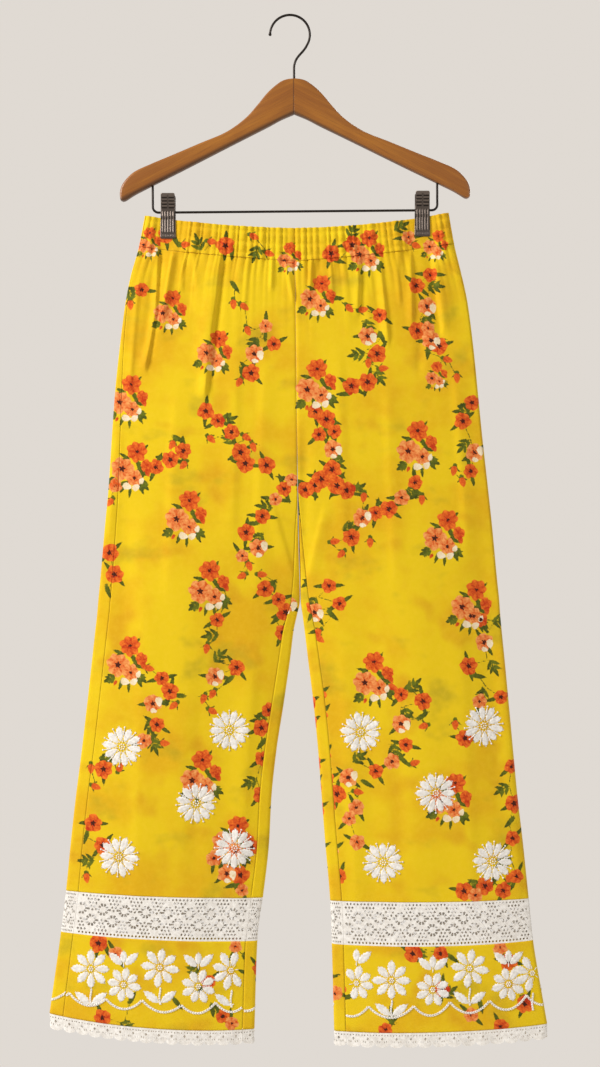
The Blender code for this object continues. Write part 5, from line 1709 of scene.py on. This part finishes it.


# %% [markdown]
# The embroidery is laid out as on the real trousers: five large daisies on each leg and,
# on each hem band, daisies with stems and serrated leaves above a scalloped border. The hidden
# sides carry the same, turned over about the outer edge.

# %% Embroidery
LEG_DAISIES = {
    # across and drop on the front, turn of the petals
    "left": ((-207.6, 906.9, 8), (-74.8, 886.6, 0), (-116.0, 976.5, 14), (-211.4, 1042.9, 4),
             (-68.5, 1032.6, 20)),
    "right": ((87.3, 889.0, 6), (239.9, 881.2, 12), (179.9, 963.6, 0), (115.0, 1049.8, 16),
              (251.0, 1048.7, 4)),
}
TALL_DAISIES = {
    "left": ((-246.4, 1181.7), (-160.7, 1179.4), (-72.7, 1184.1)),
    "right": ((125.4, 1195.7), (221.8, 1180.5), (300.8, 1188.3)),
}
LOW_DAISIES = {
    "left": ((-205.5, 1200.7), (-113.1, 1203.2)),
    "right": ((82.0, 1200.0), (176.5, 1206.7), (270.5, 1200.7)),
}
CUSPS = {
    "left": ((-320.0, 1209.0), (-273.5, 1212.0), (-227.5, 1218.2), (-182.7, 1219.4), (-134.2, 1225.6),
             (-92.0, 1223.1), (-53.4, 1224.4), (-12.0, 1222.0)),
    "right": ((52.0, 1226.0), (97.0, 1228.1), (152.9, 1226.8), (197.6, 1221.9), (246.7, 1220.6),
              (293.1, 1215.0), (338.0, 1212.0)),
}
SAG = {"left": 12.0, "right": 14.5}


def work_hem(work, side, place, low_limit):
    """Stitch the border of one hem; place turns a spot of the front into one of the panel."""
    cusps = CUSPS[side]
    for (x1, y1), (x2, y2) in zip(cusps[:-1], cusps[1:]):
        part = np.linspace(0, 1, 15)
        sag = np.minimum(y1 + (y2 - y1) * part + SAG[side] * np.sin(np.pi * part) ** 0.8, low_limit)
        work.chain([place(x1 + (x2 - x1) * t, y) for t, y in zip(part, sag)])
    for number, (x, y) in enumerate(TALL_DAISIES[side]):
        px, py = place(x, y)
        work.small_daisy(px, py, 8.0 * number, 24.5)
        foot = min(y + 47.0, low_limit)
        work.chain([place(x + 0.8 * math.sin(0.3 * d), y + d) for d in np.arange(24, foot - y, 2.0)], 3.2, 0.9)
        for way in (-1, 1) if x < 290 else ():
            bx, by = place(x, min(y + 44.0, low_limit - 4.0))
            work.petal(bx + way * 2.0, by - 1.0, -90 + way * 52, 23.0, 9.6, 0.5)
            work.stitch(bx, by, bx + way * 3.5, by - 2.6, 0.7)
    for number, (x, y) in enumerate(LOW_DAISIES[side]):
        px, py = place(x, y)
        work.small_daisy(px, py, 11.0 + 9.0 * number, 21.5)
        crown = py - 25.0
        work.petal(px, crown - 2.0, -90, 15.5, 8.6, 0.55)
        for way in (-1, 1):
            work.petal(px + way * 2.5, crown, -90 + way * 47, 21.5, 9.6, 0.5)
        work.stitch(px, crown + 4.0, px, crown - 2.0, 0.8)


for side in ("left", "right"):
    for face in ("front", "back"):
        leg = Surface(PANELS[f"{face}_leg_{side}"])
        hem = Surface(PANELS[f"hem_{face}_{side}"])

        def place(x, y, turn=face == "back"):
            return turned_over(side, x, y) if turn else (x, y)

        work = Needlework(leg)
        for x, y, turn in LEG_DAISIES[side]:
            px, py = place(x, y)
            work.daisy(px, py, turn)
        thing = lay_stitches(f"embroidery_leg_{face}_{side}", work, THREAD)
        border = Needlework(hem)
        low_limit = float(hem.flat[-1, :, 1].min()) - 2.5
        work_hem(border, side, place, low_limit)
        thing = lay_stitches(f"embroidery_hem_{face}_{side}", border, THREAD)

# %% [markdown]
# ## Hanger
#
# The hanger's two wooden halves are lofted from a line along the top and one along the underside,
# with rounded edges. A curve object with a bevel would keep one round section all along, and
# these halves grow thick in the middle, so the rings are set one by one.

# %% Wooden halves
HANGER_TILT = math.radians(0.5)
HANGER_AXIS_X = 4.3
HANGER_HALF_THICK = 6.0
HANGER_EDGE = 3.0
ARM_TOP = (
    (0.02, 78.6), (9.0, 79.6), (18.0, 83.4), (32.4, 95.4), (46.0, 111.5), (61.3, 128.0),
    (85.2, 144.6), (118.0, 158.2), (152.5, 172.6), (178.0, 183.0), (199.9, 193.2), (213.0, 206.4),
    (217.3, 218.0), (216.8, 227.0),
)
ARM_UNDER = (
    (0.02, 122.3), (16.0, 129.0), (32.8, 137.9), (68.0, 155.4), (104.6, 173.8), (140.0, 191.6),
    (176.4, 209.5), (198.0, 220.4), (210.2, 228.0), (213.8, 228.6),
)


def smooth_line(points, count):
    """Even steps along a soft line through the points."""
    p = np.array(points, float)
    padded = np.vstack([2 * p[0] - p[1], p, 2 * p[-1] - p[-2]])
    fine = []
    for a, b, c, d in zip(padded[:-3], padded[1:-2], padded[2:-1], padded[3:]):
        for t in np.linspace(0, 1, 12, endpoint=False):
            fine.append(b + 0.5 * t * (c - a + t * (2 * a - 5 * b + 4 * c - d + t * (3 * (b - c) + d - a))))
    fine = np.array(fine + [p[-1]])
    length = np.concatenate([[0], np.cumsum(np.linalg.norm(np.diff(fine, axis=0), axis=1))])
    at = np.linspace(0, length[-1], count)
    return np.stack([np.interp(at, length, fine[:, i]) for i in range(p.shape[1])], 1)


def tilted(x, z):
    """A place on the hanger, which hangs half a degree up on the right."""
    return (x * math.cos(HANGER_TILT) - z * math.sin(HANGER_TILT),
            x * math.sin(HANGER_TILT) + z * math.cos(HANGER_TILT))


def loft(rings):
    """Points and outward faces over rings of equal count, with both ends closed."""
    count = len(rings[0])
    points = np.concatenate(rings)
    faces = [tuple(range(count))[::-1], tuple(range(len(points) - count, len(points)))]
    for i in range(len(rings) - 1):
        for k in range(count):
            a, b = i * count + k, i * count + (k + 1) % count
            faces.append((a, b, b + count, a + count))
    middle = points.mean(axis=0)
    volume = 0.0
    for face in faces:
        for b, c in zip(face[1:-1], face[2:]):
            volume += np.dot(points[face[0]] - middle, np.cross(points[b] - middle, points[c] - middle))
    return points, (faces if volume > 0 else [face[::-1] for face in faces])


def rounded_ring(top, under, way):
    """A ring across the arm: a rectangle with rounded corners between the two lines."""
    high, low = (np.array(tilted(HANGER_AXIS_X + way * x, -drop)) for x, drop in (top, under))
    middle, half = (high + low) / 2, np.linalg.norm(high - low) / 2
    up = (high - low) / (2 * half)
    edge = min(HANGER_EDGE, 0.95 * half)
    ring = []
    for start, sy, su in ((0, 1, 1), (90, -1, 1), (180, -1, -1), (270, 1, -1)):
        for turn in (0, 22, 45, 68, 90):
            a = math.radians(start + turn)
            y = sy * (HANGER_HALF_THICK - edge) + edge * math.cos(a)
            u = su * (half - edge) + edge * math.sin(a)
            ring.append((middle[0] + up[0] * u, y, middle[1] + up[1] * u))
    return np.array(ring)


def bore(thing, x, z, length, tilt):
    """A round hole through a piece, for a wire that runs at x and z."""
    bpy.ops.mesh.primitive_cylinder_add(
        vertices=24, radius=1.8 * MM, depth=length * MM, location=(x * MM, 0, z * MM), rotation=(0, tilt, 0))
    cutter = bpy.context.object
    cut = thing.modifiers.new("bore", "BOOLEAN")
    cut.operation = "DIFFERENCE"
    cut.solver = "EXACT"
    cut.object = cutter
    bpy.context.view_layer.update()
    depsgraph = bpy.context.evaluated_depsgraph_get()
    done = bpy.data.meshes.new_from_object(thing.evaluated_get(depsgraph), depsgraph=depsgraph)
    thing.modifiers.clear()
    thing.data = done
    bpy.data.objects.remove(cutter, do_unlink=True)


# %% [markdown]
# The wood is a warm brown with fine grain that follows each arm, so the grain meets at an angle
# on the glue line. Painted shade darkens it along its lower edge, and a clear varnish lies over it.

# %% Varnished wood
ARM_FALL = math.radians(27.0)
ARM_UNDERSIDE = -107.3


def varnished_wood():
    made, tree, shader = plain_material("varnished wood", (0.3, 0.1, 0.02), 0.42)
    apart = add_node(tree, "ShaderNodeSeparateXYZ")
    tree.links.new(add_node(tree, "ShaderNodeTexCoord").outputs["Object"], apart.inputs[0])
    out = sum_of(tree, "ABSOLUTE", sum_of(tree, "SUBTRACT", apart.outputs[0], HANGER_AXIS_X * MM))
    lift = apart.outputs[2]
    along = sum_of(tree, "SUBTRACT", sum_of(tree, "MULTIPLY", out, math.cos(ARM_FALL)),
                   sum_of(tree, "MULTIPLY", lift, math.sin(ARM_FALL)))
    across = sum_of(tree, "ADD", sum_of(tree, "MULTIPLY", out, math.sin(ARM_FALL)),
                    sum_of(tree, "MULTIPLY", lift, math.cos(ARM_FALL)))
    place = add_node(tree, "ShaderNodeCombineXYZ")
    for socket, value in zip(place.inputs, (along, apart.outputs[1], across)):
        tree.links.new(value, socket)
    broad = noise(tree, place.outputs[0], 1.0, 3.0, 0.55, (7.0, 60.0, 120.0))
    fine = noise(tree, place.outputs[0], 1.0, 4.0, 0.7, (26.0, 700.0, 1500.0))
    cloudy = noise(tree, place.outputs[0], 14.0, 2.0, 0.5)
    tone = blend_colour(tree, span(tree, broad, 0.3, 0.7), colour(150, 88, 13), colour(172, 108, 22))
    tone = blend_colour(tree, span(tree, fine, 0.42, 0.72, 0.0, 0.6), tone, colour(112, 62, 8))
    tone = blend_colour(tree, span(tree, cloudy, 0.35, 0.7, 0.0, 0.4), tone, colour(134, 76, 9))
    # Painted shade: a darker band along the underside of each arm, standing in for the shade under its rounded
    # lower edge.
    rim = span(tree, across, ARM_UNDERSIDE * MM, (ARM_UNDERSIDE + 4.2) * MM, 0.72, 0.0)
    tone = blend_colour(tree, rim, tone, colour(62, 32, 8))
    glue = span(tree, out, 0.0, 0.0011, 0.75, 0.0)
    tone = blend_colour(tree, glue, tone, colour(70, 36, 10))
    tree.links.new(tone, shader.inputs["Base Color"])
    shader.inputs["Coat Weight"].default_value = 0.35
    shader.inputs["Coat Roughness"].default_value = 0.22
    bump = add_node(tree, "ShaderNodeBump")
    bump.inputs["Strength"].default_value = 0.25
    bump.inputs["Distance"].default_value = 0.0001
    feed(tree, bump.inputs["Height"], fine)
    tree.links.new(bump.outputs[0], shader.inputs["Normal"])
    return made


WOOD = varnished_wood()
SHANK_X, SHANK_END = 4.5, -96.0
BAR_X = (-172.4, 181.0)
BAR_DROP, BAR_TOP, BAR_BEND = 243.1, 205.0, 7.0
for side, way in (("left", -1), ("right", 1)):
    rings = [rounded_ring(top, under, way)
             for top, under in zip(smooth_line(ARM_TOP, 80), smooth_line(ARM_UNDER, 80))]
    arm = plain_piece(f"wooden_arm_{side}", *loft(rings), WOOD, "varnished_wood", 50)
    bore(arm, *tilted(SHANK_X, -78.0), 38.0, -HANGER_TILT)
    bar_end = BAR_X[0] if way < 0 else BAR_X[1]
    bore(arm, *tilted(bar_end, -BAR_TOP - 14.5), 31.0, -HANGER_TILT)
    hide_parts(f"hanger_arm_{side}")

# %% [markdown]
# ## Wire hook and bar
#
# Both are one round wire swept along a flat path. The hook ends in a small ball.

# %% Wires
WIRE = 1.5
HOOK_DROP, HOOK_RADIUS, HOOK_TIP = 23.6, 24.7, 2.1
HOOK_NECK = ((20.2, -38.4), (16.4, -43.6), (11.4, -49.2), (7.6, -54.6), (5.6, -60.6), (5.08, -67.0))


def sweep(path, radii, corners=18):
    """Rings of a round wire along a path of (x, z) places."""
    path = np.array(path, float)
    run = np.gradient(path, axis=0)
    run /= np.linalg.norm(run, axis=1)[:, None]
    turn = np.linspace(0, 2 * np.pi, corners, endpoint=False)
    rings = []
    for (x, z), (rx, rz), radius in zip(path, run, radii):
        reach = radius * np.cos(turn)
        rings.append(np.stack([x - rz * reach, radius * np.sin(turn), z + rx * reach], 1))
    return rings


dark_wire, wire_tree, wire_shader = plain_material("dark wire", colour(46, 40, 36)[:3], 0.34, 0.7)
arc = [(HOOK_RADIUS * math.cos(a), -HOOK_DROP + HOOK_RADIUS * math.sin(a))
       for a in np.radians(np.linspace(175, -34, 40))]
line = smooth_line(arc + list(HOOK_NECK) + [tilted(SHANK_X, SHANK_END)], 130)
falls = np.linspace(HOOK_TIP + 1.6, 0.25, 11)
ball = [(line[0][0] - 0.1, line[0][1] - fall) for fall in falls]
ball_radii = [math.sqrt(max(HOOK_TIP ** 2 - (fall - 1.6) ** 2, 0.02)) for fall in falls]
ball_radii = [max(r, WIRE) if fall < 1.6 else r for r, fall in zip(ball_radii, falls)]
hook = plain_piece("wire_hook", *loft(sweep(ball + list(line), ball_radii + [WIRE] * len(line))),
                   dark_wire, "dark_wire", 50)
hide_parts("hook")

path = [(BAR_X[0], -BAR_TOP), (BAR_X[0], -BAR_DROP + BAR_BEND + 4)]
for start, corner in ((180, BAR_X[0] + BAR_BEND), (270, BAR_X[1] - BAR_BEND)):
    for angle in np.radians(np.linspace(start, start + 90, 12)):
        path.append((corner + BAR_BEND * math.cos(angle), -BAR_DROP + BAR_BEND * (1 + math.sin(angle))))
path += [(BAR_X[1], -BAR_DROP + BAR_BEND + 4), (BAR_X[1], -BAR_TOP)]
path = [tilted(x, z) for x, z in path]
bar = plain_piece("wire_bar", *loft(sweep(path, [WIRE] * len(path))), dark_wire, "dark_wire", 50)
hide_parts("crossbar")

# %% [markdown]
# ## Clips
#
# A jaw is a pressed steel plate: louvred finger grips above the wire and long ribs below. The
# relief is modelled, since it catches the light as lines, and painted shade makes the grooves a little darker.

# %% Clip jaws
CLIP_WIDE, CLIP_NARROW = 19.3, 17.2
JAW_OUTER = ((-32.9, 3.4), (-31.4, 4.2), (-9.4, 4.2), (-5.4, 5.0), (4.4, 5.0), (22.3, 9.9))
JAW_INNER = ((-32.5, 2.5), (-9.0, 2.5), (-5.0, 3.5), (4.0, 3.5), (22.0, 8.4))


def jaw_relief(across, up):
    """Height of the pressed pattern at a place on the plate, from -0.6 to 0.5 mm."""
    if 4.0 < up < 19.6 and 1.0 < abs(across) < 7.6:
        part = ((19.6 - up) / 3.9) % 1.0
        return 0.5 - 1.1 * part if part < 0.72 else -0.6 + 2.4 * (part - 0.72)
    if -26.0 < up < 1.4:
        return 0.42 * math.cos(2 * math.pi * across / 3.3) * min(1.0, (1.4 - up) / 1.6, (up + 26.0) / 1.6)
    if -31.0 < up < -27.6:
        return 0.18 * math.cos(2 * math.pi * across / 1.6)
    return 0.3 if up > 20.2 else 0.0


gunmetal, metal_tree, metal_shader = plain_material("gunmetal", colour(122, 112, 104)[:3], 0.36, 0.75)
# Painted shade: the low places of the pressed pattern, read from its height, are coloured nearly black, standing in
# for the shade in the grooves.
groove = add_node(metal_tree, "ShaderNodeAttribute", attribute_name="pressed").outputs["Fac"]
metal_painted_groove_shade = blend_colour(metal_tree, span(metal_tree, groove, -0.35, 0.3), colour(22, 18, 16),
                           colour(124, 112, 104))
metal_tree.links.new(metal_painted_groove_shade, metal_shader.inputs["Base Color"])


def clip_jaw(side, face):
    way = -1.0 if face == "front" else 1.0
    middle = CLIP_X[side]
    wire_height = tilted(middle, -BAR_DROP)[1]
    rings, pressed = [], []
    for up in np.linspace(-32.9, 22.3, 85):
        half = (CLIP_WIDE + (CLIP_NARROW - CLIP_WIDE) * (up + 32.9) / 55.2) / 2
        half -= 0.9 * float(np.clip((up - 20.6) / 1.7, 0, 1)) ** 2 + 0.6 * float(np.clip((-31.5 - up) / 1.4, 0, 1))
        outer = np.interp(up, *zip(*JAW_OUTER))
        inner = min(np.interp(up, *zip(*JAW_INNER)), outer - 0.8)
        row, marks = [], []
        for across in np.linspace(-half, half, 43):
            high = jaw_relief(across, up)
            tuck = 0.7 * max(0.0, (abs(across) - half + 0.9) / 0.9) ** 2
            row.append((middle + across, way * (outer + 0.8 * high - tuck), wire_height + up))
            marks.append(high)
        row += [(middle + half, way * inner, wire_height + up), (middle - half, way * inner, wire_height + up)]
        rings.append(np.array(row))
        pressed += marks + [0.0, 0.0]
    points, faces = loft(rings)
    thing = plain_piece(f"clip_jaw_{face}_{side}_plate", points, faces, gunmetal, "clip_metal", 35)
    thing.data.attributes.new("pressed", "FLOAT", "POINT").data.foreach_set("value", pressed)
    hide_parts(f"clip_jaw_{face}_{side}")


for side in ("left", "right"):
    for face in ("front", "back"):
        clip_jaw(side, face)
    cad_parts[f"clip_spring_{side}"].material_slots[0].material = dark_wire
